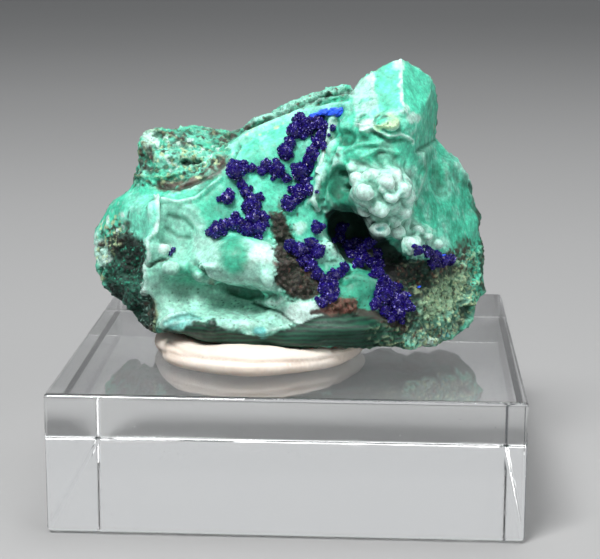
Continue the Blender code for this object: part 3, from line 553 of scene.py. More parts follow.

# Painted highlights on proud places and painted shade in hollows, by how proud or hollow the skin is, in
# mm: start, full, strength
PROUD_ROUNDS = 24
PROUD_HIGHLIGHT = (0.02, 0.10, 0.5)
PALE_GRAIN_HIGHLIGHT = (0.05, 0.16, 0.35)
BUNCH_HIGHLIGHT = (0.0, 0.09, 0.7)
HOLLOW_SHADE = (0.015, 0.10, 0.6)
HOLLOW_SHADE_BEHIND = 0.15
HOLLOW_SHADE_ROUGH = 0.5

# How full a stroke is, and how much the noises and the broken ground change that
STROKE_FULL = 0.9
STROKE_MOTTLE = 0.7
STROKE_SMALL = 0.5
STROKE_ROUGH = 1.6

# Flecks: level of the noise, fade towards a field's edge, softness, strength, least ground
FLECK_LEVEL = 0.62
FLECK_FADE = 0.25
FLECK_SOFT = 0.06
FLECK_STRENGTH = 0.9
FLECK_GROUND = 0.05

# Stone's mesh: growths, what counts as back and as seen, and grain, in mm, shares and rounds
WELD = 0.002
ROUND_LEVELS = 2
LUMP_DETAIL = 4
SMOOTHING = 0.5
STONE_ROUNDS = 3
BACK_FROM = 0.1
BACK_GAIN = 4.0
GRAZING = 0.05
CLEAR_OF_SKIN = 0.12
SEEN_ROUNDS = 3
BACK_GRAIN = 0.16
BACK_COARSE = 0.6
GRAIN_WEIGHTS = (0.9, 0.8, 0.6)
GRAIN_FOLD = (2.0, 0.6)
KNOB_FOLD = (2.6, 0.5)

# Putty, in mm: mesh, swelling, how its foot is pressed down, where it is free, folds
PUTTY_VOXEL = 0.2
PUTTY_ROUNDS = 6
PUTTY_SWELL = 0.3
PUTTY_GAP = 0.01
PRESSED_HEIGHT = 0.9
PRESSED_DROP = 0.35
PUTTY_FREE = (0.1, 0.5)
PUTTY_LIFTS = (0.12, 0.04)
PUTTY_FOLDS = {
    "long fold": (0.28, 4, ((154, 351), (190, 358), (254, 363), (310, 362), (352, 355))),
    "left fold": (0.15, 3, ((170, 343), (182, 352), (200, 357))),
    "right fold": (0.15, 3, ((330, 346), (338, 356), (350, 362))),
}

# Clear block, in mm
BLOCK_TOP_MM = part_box("acrylic_block")[1].z / MM
EASED_EDGE = 0.35
EDGE_STEPS = 6

# Noise of the materials: waves a metre, detail, roughness
TEXTURES = {
    "stone cloud": (900.0, 5.0, 0.6),
    "stone grain": (3000.0, 4.0, 0.65),
    "stone flecks": (5200.0, 2.0, 0.5),
    "stone fibres": (4800.0, 3.0, 0.6),
    "stone sheen": (2400.0, 3.0, 0.55),
    "stone skin": (1800.0, 6.0, 0.6),
    "stone grit": (6000.0, 3.0, 0.6),
    "azurite cloud": (1500.0, 3.0, 0.55),
    "azurite sheen": (4000.0, 3.0, 0.55),
    "azurite grain": (9000.0, 2.0, 0.55),
    "putty cloud": (350.0, 4.0, 0.55),
    "putty sheen": (900.0, 3.0, 0.55),
    "putty skin": (1400.0, 4.0, 0.55),
    "block rub": (260.0, 5.0, 0.65),
    "block specks": (3500.0, 1.0, 0.55),
    "floor cloud": (3.0, 3.0, 0.55),
}

# How a value is read in the materials: from low and high, to low and high
READINGS = {
    "stone cloud": (0.35, 0.65, 0.68, 1.16),
    "stone grain": (0.35, 0.65, 0.74, 1.16),
    "stone flecks": (0.60, 0.70, 0.0, 1.0),
    "flecks by ground": (0.0, 1.0, 0.22, 0.65),
    "stone fibres": (0.4, 0.62, 0.0, 1.0),
    "stone sheen": (0.3, 0.7, 0.42, 0.68),
    "grit by ground": (0.0, 1.0, 0.08, 0.7),
    "azurite cloud": (0.35, 0.65, 0.0, 1.0),
    "lively": (0.3, 1.0, 0.0, 1.0),
    "glint": (0.84, 0.94, 0.0, 1.0),
    "clear": (1.4, 1.8, 0.0, 1.0),
    "azurite sheen": (0.3, 0.7, 0.12, 0.34),
    "putty cloud": (0.3, 0.7, 0.0, 1.0),
    "putty sheen": (0.3, 0.7, 0.45, 0.7),
    "block rub": (0.45, 0.75, 0.01, 0.14),
    "block specks": (0.72, 0.78, 0.0, 1.0),
    "floor cloud": (0.3, 0.7, 0.32, 0.34),
}

# Bumps of the materials: strength, depth in metres
BUMPS = {
    "stone skin": (0.25, 0.0002),
    "azurite grain": (0.2, 0.0001),
    "putty skin": (0.2, 0.0002),
    "block specks": (0.3, 0.0002),
}
GRIT_DEPTH = 0.00025

# Dark bands and fibres of the stone
BANDS = {"Scale": 800.0, "Distortion": 4.0, "Detail": 2.0, "Detail Scale": 0.6}
BAND_STRENGTH = 0.7
FIBRE_STRETCH = (1.0, 1.0, 0.16)
FIBRE_STRENGTH = 0.36

# Colours of the azurite, from its dark ground to its bright blue blades, and of putty, block and sky; its
# glint and clear colours are painted glints
AZURITE_GROUND = ((0.006, 0.002, 0.075, 1.0), (0.013, 0.003, 0.16, 1.0))
# Brighter blues by the blades' spark: lively is the crystals' own livelier blue, glint a pale painted glint
# on a few blades, clear the bright blue painted glint of the bright blades
AZURITE_SPARKS = {
    "lively": (0.028, 0.016, 0.40, 1.0),
    "glint": (0.36, 0.32, 0.95, 1.0),
    "clear": (0.03, 0.12, 0.95, 1.0),
}
PUTTY_TONES = ((0.82, 0.70, 0.60, 1.0), (0.90, 0.81, 0.72, 1.0))
ACRYLIC_TINT = (0.97, 0.98, 0.98, 1.0)
SKY_COLOUR = (0.9, 0.95, 1.0, 1.0)
SKY_STRENGTH = 0.16

# Lights: place, side of the square and power, in metres and watts
LIGHTS = {
    "key": ((-0.11, -0.22, 0.38), 0.15, 2.35),
    "top": ((0.06, 0.06, 0.40), 0.26, 0.8),
    "fill": ((0.34, -0.26, 0.17), 0.30, 0.7),
    "back panel": ((0.0, 1.3, 0.35), 1.2, 2.0),
}
LIT_POINT = Vector((0.0, 0.0, 0.022))

# Floor and the camera's near and far limits, in metres
FLOOR_SIDE = 6.0
FLOOR_PLACE = (0.0, 1.5, -0.0002)
NEAR_LIMIT = 0.005
FAR_LIMIT = 20.0

# Seed of the random draws
DRAW_SEED = 11


# Views and places


def camera_axes():
    """Forward, right and up directions of the photograph's camera."""
    forward = Vector((-math.sin(YAW) * math.cos(PITCH), math.cos(YAW) * math.cos(PITCH), -math.sin(PITCH)))
    level = Vector((math.cos(YAW), math.sin(YAW), 0.0))
    upright = level.cross(forward)
    right = level * math.cos(ROLL) + upright * math.sin(ROLL)
    return forward, right, upright * math.cos(ROLL) - level * math.sin(ROLL)


FORWARD, RIGHT, UP = camera_axes()


def sight(place):
    """Direction from the eye through a place in the photograph."""
    across = (place[0] - PHOTO_MIDDLE[0]) / FOCAL_PX
    down = (place[1] - PHOTO_MIDDLE[1]) / FOCAL_PX
    return (FORWARD + RIGHT * across - UP * down).normalized()


def photo_places(points):
    """Where points in mm lie in the photograph, in px."""
    away = points - np.array(EYE)
    depth = away @ np.array(FORWARD)
    across = PHOTO_MIDDLE[0] + FOCAL_PX * (away @ np.array(RIGHT)) / depth
    down = PHOTO_MIDDLE[1] - FOCAL_PX * (away @ np.array(UP)) / depth
    return np.stack([across, down], axis=1)


def seat(tree, place):
    """Point and normal of the surface behind a place in the photograph, and the mm of a px there.

    A place just outside the outline takes the nearest point of the surface.
    """
    point, normal, _, _ = tree.ray_cast(EYE, sight(place))
    if point is None:
        point, normal, _, _ = tree.find_nearest(EYE + sight(place) * EDGE_DEPTH)
    return point, normal, (point - EYE).dot(FORWARD) / FOCAL_PX


def rise(value, low, high):
    """0 below low, 1 above high and a soft rise between them."""
    share = np.clip((value - low) / (high - low), 0.0, 1.0)
    return share * share * (3.0 - 2.0 * share)


def line_distance(places, line):
    """Distance in px from each place to a line through points."""
    best = np.full(len(places), FAR_PX)
    for start, end in zip(line, line[1:]):
        start = np.array(start, float)
        span = np.array(end, float) - start
        along = np.clip(((places - start) @ span) / (span @ span), 0.0, 1.0)
        best = np.minimum(best, np.linalg.norm(places - start - along[:, None] * span, axis=1))
    return best


def field_share(places, outline, soft):
    """1 inside an outline and 0 outside, with an edge that many px soft."""
    inside = np.zeros(len(places), bool)
    closed = list(outline) + [outline[0]]
    for (x0, y0), (x1, y1) in zip(closed, closed[1:]):
        if y0 == y1:
            continue
        crosses = (places[:, 1] < y0) != (places[:, 1] < y1)
        inside ^= crosses & (places[:, 0] < x0 + (places[:, 1] - y0) * (x1 - x0) / (y1 - y0))
    distance = line_distance(places, closed)
    return rise(np.where(inside, distance, -distance), -soft / 2, soft / 2)


def line_share(places, line, near, far):
    """1 nearer to a line than the first distance in px, 0 past the second."""
    return 1.0 - rise(line_distance(places, line), near, far)


def spot_share(places, middle, half):
    """1 in the middle of a spot, 0 outside."""
    reach = np.hypot((places[:, 0] - middle[0]) / half[0], (places[:, 1] - middle[1]) / half[1])
    return 1.0 - rise(reach, *SPOT_EDGE)


def noise_at(points, size, seed):
    """Smooth noise, about -1 to 1, with waves of that size in mm."""
    shift = Vector([seed * step for step in SEED_SHIFT])
    return np.array([noise.noise(Vector(point) / size + shift) for point in points.tolist()])


def waves(points, name):
    """One of the named noises."""
    return noise_at(points, *NOISES[name])


def drift(points, name, reach):
    """A sideways shift of each vertex's place in the photograph, in px."""
    return np.stack([waves(points, name + " across"), waves(points, name + " down")], axis=1) * reach


# Mesh helpers


def new_object(name, mesh):
    """An object of that mesh, linked to the scene."""
    made = bpy.data.objects.new(name, mesh)
    bpy.context.scene.collection.objects.link(made)
    return made


def apply_modifiers(thing):
    """Keep the evaluated mesh as the object's own mesh."""
    graph = bpy.context.evaluated_depsgraph_get()
    shaped = bpy.data.meshes.new_from_object(thing.evaluated_get(graph))
    thing.modifiers.clear()
    thing.data = shaped


def modify(thing, kind, **settings):
    """Apply one modifier with those settings."""
    step = thing.modifiers.new(kind, kind)
    for setting, value in settings.items():
        setattr(step, setting, value)
    apply_modifiers(thing)


def remesh(thing, voxel):
    """Fuse what overlaps in one skin of even faces."""
    modify(thing, "REMESH", mode="VOXEL", voxel_size=voxel)


def smooth(thing, rounds):
    """Even out the skin."""
    modify(thing, "SMOOTH", factor=SMOOTHING, iterations=rounds)


def shade_smooth(mesh):
    """Shade a mesh as one smooth surface."""
    mesh.polygons.foreach_set("use_smooth", [True] * len(mesh.polygons))


def round_copy(node, name):
    """A copy of a CAD node in mm, with its facets rounded off."""
    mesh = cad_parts[node].data.copy()
    mesh.materials.clear()
    mesh.transform(Matrix.Scale(1.0 / MM, 4))
    shape = bmesh.new()
    shape.from_mesh(mesh)
    bmesh.ops.remove_doubles(shape, verts=shape.verts, dist=WELD)
    shape.to_mesh(mesh)
    shape.free()
    made = new_object(name, mesh)
    modify(made, "SUBSURF", levels=ROUND_LEVELS)
    return made


def tree_of(mesh):
    """Search tree of a mesh's faces."""
    shape = bmesh.new()
    shape.from_mesh(mesh)
    tree = BVHTree.FromBMesh(shape)
    shape.free()
    return tree


def points_of(mesh, what="co"):
    """Places or normals of a mesh's vertices as an array."""
    values = np.empty(len(mesh.vertices) * 3)
    mesh.vertices.foreach_get(what, values)
    return values.reshape(-1, 3)


def move_points(mesh, places):
    """Put a mesh's vertices at these places."""
    mesh.vertices.foreach_set("co", places.reshape(-1))
    mesh.update()


def linear(name):
    """A named colour as linear light, by the usual screen curve."""
    share = np.array(COLOURS[name], float) / 255.0
    return np.where(share <= 0.04045, share / 12.92, ((share + 0.055) / 1.055) ** 2.4)


def keep_value(mesh, name, values):
    """Store one number for each vertex under a name."""
    made = mesh.attributes.new(name, "FLOAT", "POINT")
    made.data.foreach_set("value", values.astype(np.float32))


def finish_piece(thing, nodes):
    """Turn a piece made in mm into metres and let it stand for its CAD nodes."""
    thing.data.transform(Matrix.Scale(MM, 4))
    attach(thing, "root")
    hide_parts(*nodes)


# Shape of the stone


def add_lumps(lump):
    """Grow the small rounded forms out of the stone's front."""
    tree = tree_of(lump.data)
    shape = bmesh.new()
    shape.from_mesh(lump.data)
    corners = [shape.verts.new(corner) for corner in BLOCK_CORNERS]
    bmesh.ops.convex_hull(shape, input=corners)
    for place, half, depth, proud, turn in LUMPS.values():
        point, _, px = seat(tree, place)
        middle = point - sight(place) * proud * px
        size = Matrix.Diagonal((half[0] * px, depth * px, half[1] * px, 1.0))
        matrix = Matrix.Translation(middle) @ Matrix.Rotation(math.radians(-turn), 4, "Y") @ size
        bmesh.ops.create_icosphere(shape, subdivisions=LUMP_DETAIL, radius=1.0, matrix=matrix)
    shape.to_mesh(lump.data)
    shape.free()


def thin_out_back(lump):
    """Make the skin coarser where it looks away from the photograph's camera."""
    lump.data.calc_loop_triangles()
    triangles = len(lump.data.loop_triangles)
    if triangles <= STONE_TRIANGLES:
        return
    away = np.clip(points_of(lump.data, "normal") @ np.array(FORWARD) + BACK_FROM, 0.0, 1.0)
    group = lump.vertex_groups.new(name="back")
    for index in np.nonzero(away > 0.0)[0].tolist():
        group.add([index], min(1.0, away[index] * BACK_GAIN), "REPLACE")
    modify(lump, "DECIMATE", vertex_group="back", ratio=STONE_TRIANGLES / triangles)


def front_share(mesh):
    """How fully the photograph's camera sees each vertex, 0 to 1."""
    tree = tree_of(mesh)
    places = points_of(mesh)
    normals = points_of(mesh, "normal")
    to_eye = np.array(EYE) - places
    to_eye /= np.linalg.norm(to_eye, axis=1)[:, None]
    facing = np.sum(normals * to_eye, axis=1)
    seen = rise(facing, 0.0, GRAZING)
    for index in np.nonzero(facing > 0.0)[0].tolist():
        start = Vector(places[index]) + Vector(normals[index]) * CLEAR_OF_SKIN
        if tree.ray_cast(start, Vector(to_eye[index]))[0] is not None:
            seen[index] = 0.0
    return spread(mesh, seen, SEEN_ROUNDS)


def spread(mesh, values, rounds):
    """Even out a value over neighbouring vertices."""
    edges = np.empty(len(mesh.edges) * 2, int)
    mesh.edges.foreach_get("vertices", edges)
    edges = edges.reshape(-1, 2)
    count = np.bincount(edges.reshape(-1), minlength=len(values))
    for _ in range(rounds):
        total = np.bincount(edges[:, 0], values[edges[:, 1]], len(values))
        total += np.bincount(edges[:, 1], values[edges[:, 0]], len(values))
        values = 0.5 * values + 0.5 * total / np.maximum(1, count)
    return values


def standing(mesh, points, normals, rounds):
    """How far each vertex stands above the ground around it, in mm."""
    even = np.stack([spread(mesh, points[:, axis], rounds) for axis in range(3)], axis=1)
    return np.sum((points - even) * normals, axis=1)


def broken_ground(places, front, heights):
    """The greatest of the heights that the grainy fields give each vertex."""
    most = np.zeros(len(places))
    for height, (_, outline) in zip(heights, GRAINY.values()):
        most = np.maximum(most, height * front * field_share(places, outline, GRAIN_EDGE))
    return most


def coarse_share(places, front):
    """How fully a vertex lies on broken, grainy ground."""
    return broken_ground(places, front, [1.0] * len(GRAINY))


def folded(points, name, gain, drop):
    """Noise folded up into sharp hollows and round tops."""
    return np.abs(waves(points, name)) * gain - drop


def grain_height(points, places, front):
    """Height of the broken ground's grain at each vertex, in mm."""
    heights = [height for height, _ in GRAINY.values()]
    rough = np.maximum((1.0 - front) * BACK_GRAIN, broken_ground(places, front, heights))
    grains = (
        waves(points, "coarse grain"), folded(points, "medium grain", *GRAIN_FOLD),
        waves(points, "fine grain"),
    )
    height = rough * sum(grain * weight for grain, weight in zip(grains, GRAIN_WEIGHTS))
    knobs = folded(points, "knobs", *KNOB_FOLD)
    for tall, outline in KNOBBLY.values():
        height += tall * front * field_share(places, outline, KNOB_EDGE) * knobs
    return height


def relief(points, places, front):
    """How far the front's ridges, creases and dents stand out, in mm."""
    near = places + drift(points, "relief", RELIEF_WANDER)
    height = np.zeros(len(points))
    for tall, half, line in RIDGES.values():
        height += tall * line_share(near, line, 0.0, half)
    for deep, half, line in CREASES.values():
        height -= deep * line_share(near, line, 0.0, half)
    for deep, middle, half in DENTS.values():
        height -= deep * spot_share(near, middle, half)
    return height * front


def press_facets(points):
    """Take off what stands past the flat faces of the upper block."""
    for first, second, third, lowest in FACETS.values():
        first = np.array(first)
        outward = np.cross(np.array(second) - first, np.array(third) - first)
        outward /= np.linalg.norm(outward)
        past = (points - first) @ outward
        held = (past > 0.0) & (points[:, 2] > lowest) & (points[:, 0] > FACET_REACH_X)
        points[held] -= past[held, None] * outward
    return points


# Colours of the stone


def pale_share(places):
    """How fully a vertex lies where the broken ground has pale crystals."""
    right = field_share(places, GRAINY["lower right"][1], GRAIN_EDGE)
    return np.maximum(right, field_share(places, GRAINY["shelf"][1], GRAIN_EDGE))


def step_share(value, start, full, strength):
    """The strength of a coat where a value is past full, and a soft rise up to there."""
    return rise(value, start, full) * strength


class Coating:
    """The stone's colour at each vertex, laid on coat by coat."""

    def __init__(self, mesh, points, places, front):
        self.points = points
        self.places = places
        self.front = front
        self.behind = 1.0 - front
        self.rough = coarse_share(places, front)
        self.proud = standing(mesh, points, points_of(mesh, "normal"), PROUD_ROUNDS)
        self.noises = {name: waves(points, name) for name in ("broad", "mottle", "small")}
        self.noises["vein"] = np.abs(waves(points, "vein"))
        self.near = places + drift(points, "wander", PAINT_WANDER) + drift(points, "fray", PAINT_FRAY)
        self.tint = np.tile(linear("mint"), (len(points), 1))

    def lay(self, name, share):
        """Cover what is there with a colour, by that share."""
        share = np.clip(share, 0.0, 1.0)[:, None]
        self.tint = self.tint * (1.0 - share) + linear(name) * share

    def coats(self, table, ground):
        """Coats that follow the noises."""
        for name, weights, start, full, strength in table:
            value = sum(self.noises[wave] * weight for wave, weight in weights.items())
            self.lay(name, ground * step_share(value, start, full, strength))

    def fields_and_strokes(self):
        """The minerals' fields, strokes and spots."""
        for name, share, soft, outline in FIELDS.values():
            self.lay(name, share * self.front * field_share(self.near, outline, soft))
        small = (STROKE_SMALL + STROKE_ROUGH * self.rough) * self.noises["small"]
        broken = np.clip(STROKE_FULL + STROKE_MOTTLE * self.noises["mottle"] + small, 0.0, 1.0)
        for name, share, half, line in STROKES.values():
            near, far = [edge * half for edge in STROKE_EDGE]
            reach = line_share(self.near, line, near, far)
            self.lay(name, share * self.front * reach * broken)
        for name, share, middle, half in SPOTS.values():
            self.lay(name, share * self.front * spot_share(self.near, middle, half))

    def flecks(self):
        """Small flecks of a colour over a field."""
        for index, (name, amount, size, soft, outline) in enumerate(SPECKLED.values()):
            ground = self.front * field_share(self.places, outline, soft)
            held = np.nonzero(ground > FLECK_GROUND)[0]
            ground = ground[held]
            fine = noise_at(self.points[held], size, FLECK_SEED + index) + FLECK_FADE * (ground - 1.0)
            edge = FLECK_LEVEL - amount
            share = np.zeros(len(self.points))
            share[held] = rise(fine, edge - FLECK_SOFT, edge + FLECK_SOFT) * ground
            self.lay(name, share * FLECK_STRENGTH)

    def highlights_and_hollow_shade(self):
        """Painted highlights on proud places and painted shade in hollows."""
        pale = self.front * self.rough * pale_share(self.places)
        # Painted highlight: cream on the proud grains of the pale broken ground
        self.lay("cream", pale * step_share(self.proud, *PALE_GRAIN_HIGHLIGHT))
        bunch = self.front * field_share(self.places, FIELDS["bunch"][3], BUNCH_EDGE)
        # Painted highlight: white on the proud knobs of the bunch
        self.lay("white", bunch * step_share(self.proud, *BUNCH_HIGHLIGHT))
        # Painted shade: dark green in the hollows, stronger on the back and weaker on broken ground
        start, full, strength = HOLLOW_SHADE
        strength = (strength + HOLLOW_SHADE_BEHIND * self.behind) * (1.0 - HOLLOW_SHADE_ROUGH * self.rough)
        self.lay("dark green", step_share(-self.proud, start, full, strength))


def paint(mesh, points, places, front):
    """Colour of each vertex from the minerals' fields, strokes, spots and flecks, with painted highlights
    on proud places and painted shade in hollows.
    """
    coating = Coating(mesh, points, places, front)
    coating.coats(COATS, 1.0)
    # Painted highlight: white on the proud places of the smooth front
    coating.lay("white", front * (1.0 - coating.rough) * step_share(coating.proud, *PROUD_HIGHLIGHT))
    coating.coats(BACK_COATS, coating.behind)
    coating.lay("deep green", coating.behind * step_share(DARK_FOOT_Z - points[:, 2], *DARK_FOOT))
    coating.fields_and_strokes()
    coating.flecks()
    coating.highlights_and_hollow_shade()
    made = mesh.attributes.new("tint", "FLOAT_COLOR", "POINT")
    colours = np.c_[coating.tint, np.ones(len(points))]
    made.data.foreach_set("color", colours.astype(np.float32).reshape(-1))


def malachite_stone():
    """The stone with its fine forms and colours."""
    lump = round_copy("malachite_matrix", "malachite_stone")
    add_lumps(lump)
    remesh(lump, FINE_VOXEL)
    smooth(lump, STONE_ROUNDS)
    thin_out_back(lump)
    mesh = lump.data
    points = points_of(mesh)
    normals = points_of(mesh, "normal")
    places = photo_places(points)
    front = front_share(mesh)
    lift = relief(points, places, front) + grain_height(points, places, front)
    points = press_facets(points + normals * lift[:, None])
    move_points(mesh, points)
    paint(mesh, points, places, front)
    keep_value(mesh, "coarse", np.maximum((1.0 - front) * BACK_COARSE, coarse_share(places, front)))
    for name, field, soft in (("banded", "dark base", BAND_EDGE), ("streaky", "right slope", STREAK_EDGE)):
        keep_value(mesh, name, field_share(places, FIELDS[field][3], soft) * front)
    shade_smooth(mesh)
    return lump


# Azurite


def blade_mesh(rng, middle, outward, size):
    """Corners of one small azurite blade that stands out of a ball."""
    turn = outward.to_track_quat("Z", "Y") @ Euler((0.0, 0.0, rng.uniform(0.0, math.tau))).to_quaternion()
    lean = Euler((rng.uniform(*BLADE_LEAN), rng.uniform(*BLADE_LEAN), 0.0)).to_quaternion()
    halves = [size * rng.uniform(*span) for span in (BLADE_WIDE, BLADE_THIN, BLADE_TALL)]
    corners = []
    for corner in BLADE_CORNERS:
        place = Vector([share * half for share, half in zip(corner, halves)])
        corners.append(middle + turn @ (lean @ place))
    return corners


def beside(balls, rng):
    """Smaller balls that crowd round each ball, in px."""
    made = []
    for u, v, radius_px in balls:
        for _ in range(SMALL_BALLS):
            around = rng.uniform(0.0, math.tau)
            away = radius_px * rng.uniform(*SMALL_AWAY)
            size = radius_px * rng.uniform(*SMALL_SHARE)
            made.append((u + away * math.cos(around), v + away * math.sin(around), size))
    return tuple(made)


def azurite_piece(name, balls, tree, rng):
    """A group of balls, each a bumpy core covered in small blades."""
    corners = []
    faces = []
    sparks = []
    seats = []
    for u, v, radius_px in balls + beside(balls, rng):
        point, normal, px = seat(tree, (u, v))
        radius = radius_px * px * BALL_GROWTH
        look = sight((u, v))
        seats.append((point - look * radius * BALL_PROUD + normal * radius * BALL_OFF_SKIN, radius, look))
    for middle, radius, look in seats:
        core = bmesh.new()
        bmesh.ops.create_icosphere(core, subdivisions=CORE_DETAIL, radius=radius * CORE_SHARE)
        start = len(corners)
        for vert in core.verts:
            swell = 1.0 + CORE_SWELL * noise.noise((vert.co + middle) * CORE_WAVES)
            corners.append(middle + vert.co * swell)
            sparks.append(CORE_SPARK)
        for face in core.faces:
            faces.append(tuple(start + vert.index for vert in face.verts))
        core.free()
        count = int(BLADES_PER_BALL * (radius / USUAL_RADIUS) ** 2)
        for index in range(count):
            height = 1.0 - 2.0 * (index + 0.5) / count
            around = index * GOLDEN_TURN + rng.uniform(*BLADE_SHIFT)
            flat = math.sqrt(1.0 - height * height)
            outward = Vector((flat * math.cos(around), flat * math.sin(around), height))
            if outward.dot(look) > HIDDEN_SIDE:
                continue
            place = middle + outward * radius * rng.uniform(*BLADE_ROOT)
            if any((place - other).length < reach * BURIED for other, reach, _ in seats):
                continue
            made = blade_mesh(rng, place, outward, rng.uniform(*BLADE_MM))
            start = len(corners)
            corners.extend(made)
            # The highest sparks give a blade the pale painted glint
            sparks.extend([rng.random() ** 2] * len(made))
            faces.extend(tuple(start + corner for corner in side) for side in BLADE_FACES)
    mesh = bpy.data.meshes.new(name)
    mesh.from_pydata([tuple(corner) for corner in corners], [], faces)
    keep_value(mesh, "spark", np.array(sparks))
    return new_object(name, mesh)


def add_bright_blades(piece, share, places, tree, rng):
    """Bright blue blades that lie beside the balls, coloured as painted glints."""
    shape = bmesh.new()
    shape.from_mesh(piece.data)
    spark = shape.verts.layers.float["spark"]
    for place in places:
        point, normal, _ = seat(tree, place)
        for _ in range(BRIGHT_COUNT):
            shift = Vector([rng.uniform(*span) for span in BRIGHT_SHIFT]) * share
            turn = Euler([rng.uniform(*span) for span in BRIGHT_TURN]).to_matrix().to_4x4()
            length = share * rng.uniform(*BRIGHT_LENGTH)
            height = share * rng.uniform(*BRIGHT_HEIGHT)
            size = Matrix.Diagonal((length, BRIGHT_WIDTH * share, height, 1.0))
            matrix = Matrix.Translation(point + normal * BRIGHT_PROUD + shift) @ turn @ size
            made = bmesh.ops.create_icosphere(shape, subdivisions=1, radius=1.0, matrix=matrix)
            for vert in made["verts"]:
                # Painted glint: the bright blue of the bright blades
                vert[spark] = BRIGHT_SPARK
    shape.to_mesh(piece.data)
    shape.free()


# Putty


def putty_pad():
    """The putty, pressed down to the block and up to the stone, with its folds."""
    pad = round_copy("mounting_tack", "putty_pad")
    remesh(pad, PUTTY_VOXEL)
    smooth(pad, PUTTY_ROUNDS)
    mesh = pad.data
    points = points_of(mesh)
    points += points_of(mesh, "normal") * PUTTY_SWELL
    top = BLOCK_TOP_MM + PUTTY_GAP
    points[:, 2] = np.maximum(points[:, 2], top)
    low = rise(top + PRESSED_HEIGHT - points[:, 2], 0.0, PRESSED_HEIGHT)
    points[:, 2] = points[:, 2] * (1.0 - low) + low * np.maximum(top, points[:, 2] - PRESSED_DROP)
    move_points(mesh, points)
    places = photo_places(points)
    normals = points_of(mesh, "normal")
    free = rise(points[:, 2] - top, *PUTTY_FREE)
    lift = waves(points, "putty waves") * PUTTY_LIFTS[0] + waves(points, "putty grain") * PUTTY_LIFTS[1]
    for deep, half, line in PUTTY_FOLDS.values():
        lift -= deep * line_share(places, line, 0.0, half)
    points += normals * (lift * free)[:, None]
    points[:, 2] = np.maximum(points[:, 2], top)
    move_points(mesh, points)
    shade_smooth(mesh)
    return pad


# Clear block


def acrylic_slab():
    """The clear block with its eased edges."""
    low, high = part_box("acrylic_block")
    bpy.ops.mesh.primitive_cube_add(size=1.0, location=(low + high) / 2)
    slab = bpy.context.object
    slab.name = "acrylic_slab"
    slab.scale = high - low
    bpy.ops.object.transform_apply(location=True, rotation=True, scale=True)
    modify(slab, "BEVEL", width=EASED_EDGE * MM, segments=EDGE_STEPS)
    return slab


# Materials


def flat_colour(name):
    """A named colour for a colour socket."""
    return (*linear(name).tolist(), 1.0)


class Look:
    """A material under way: its nodes, its main shader and the object's own coordinates in metres."""

    def __init__(self, name):
        self.material = bpy.data.materials.new(name)
        self.material.use_nodes = True
        self.nodes = self.material.node_tree.nodes
        self.shader = self.nodes["Principled BSDF"]
        self.place = self.nodes.new("ShaderNodeTexCoord").outputs["Object"]

    def feed(self, socket, value):
        """Link a socket, or set a number or a colour straight on it."""
        if isinstance(value, bpy.types.NodeSocket):
            self.material.node_tree.links.new(value, socket)
        else:
            socket.default_value = value

    def node(self, kind, inputs, **settings):
        """A node with its settings, and a value or a link for each named input."""
        made = self.nodes.new(kind)
        for setting, value in settings.items():
            setattr(made, setting, value)
        for socket, value in inputs.items():
            self.feed(made.inputs[socket], value)
        return made

    def finished(self, values):
        """The material, once its main shader has these values."""
        for socket, value in values.items():
            self.feed(self.shader.inputs[socket], value)
        return self.material

    def stored(self, name, output="Fac"):
        """A value that the mesh holds for each vertex."""
        return self.node("ShaderNodeAttribute", {}, attribute_name=name).outputs[output]

    def texture(self, name, place=None):
        """One of the materials' noises."""
        scale, detail, roughness = TEXTURES[name]
        inputs = {"Scale": scale, "Detail": detail, "Roughness": roughness}
        inputs["Vector"] = self.place if place is None else place
        return self.node("ShaderNodeTexNoise", inputs).outputs["Fac"]

    def reading(self, name, value):
        """A value mapped from one range to another, held at its ends."""
        low, high, to_low, to_high = READINGS[name]
        inputs = {"Value": value, "From Min": low, "From Max": high, "To Min": to_low, "To Max": to_high}
        return self.node("ShaderNodeMapRange", inputs).outputs["Result"]

    def pattern(self, name, place=None):
        """A noise with its reading."""
        return self.reading(name, self.texture(name, place))

    def product(self, first, second):
        """Two values multiplied."""
        return self.node("ShaderNodeMath", {0: first, 1: second}, operation="MULTIPLY").outputs["Value"]

    def mix(self, share, first, second, blend="MIX"):
        """Two colours mixed."""
        made = self.node("ShaderNodeMix", {}, data_type="RGBA", blend_type=blend)
        sockets = {socket.identifier: socket for socket in made.inputs}
        for name, value in (("Factor_Float", share), ("A_Color", first), ("B_Color", second)):
            self.feed(sockets[name], value)
        return next(socket for socket in made.outputs if socket.identifier == "Result_Color")

    def bump(self, height, strength, depth):
        """Surface detail finer than the mesh."""
        inputs = {"Height": height, "Strength": strength, "Distance": depth}
        return self.node("ShaderNodeBump", inputs)


def stone_bands(look):
    """Wavy dark bands that lie level."""
    wave = look.node("ShaderNodeTexWave", BANDS, bands_direction="Z")
    look.feed(wave.inputs["Vector"], look.place)
    return look.product(look.product(wave.outputs["Fac"], look.stored("banded")), BAND_STRENGTH)


def stone_fibres(look):
    """Fine dark fibres that stand upright."""
    upright = look.node("ShaderNodeMapping", {"Scale": FIBRE_STRETCH, "Vector": look.place})
    fibre = look.pattern("stone fibres", upright.outputs["Vector"])
    return look.product(look.product(fibre, look.stored("streaky")), FIBRE_STRENGTH)


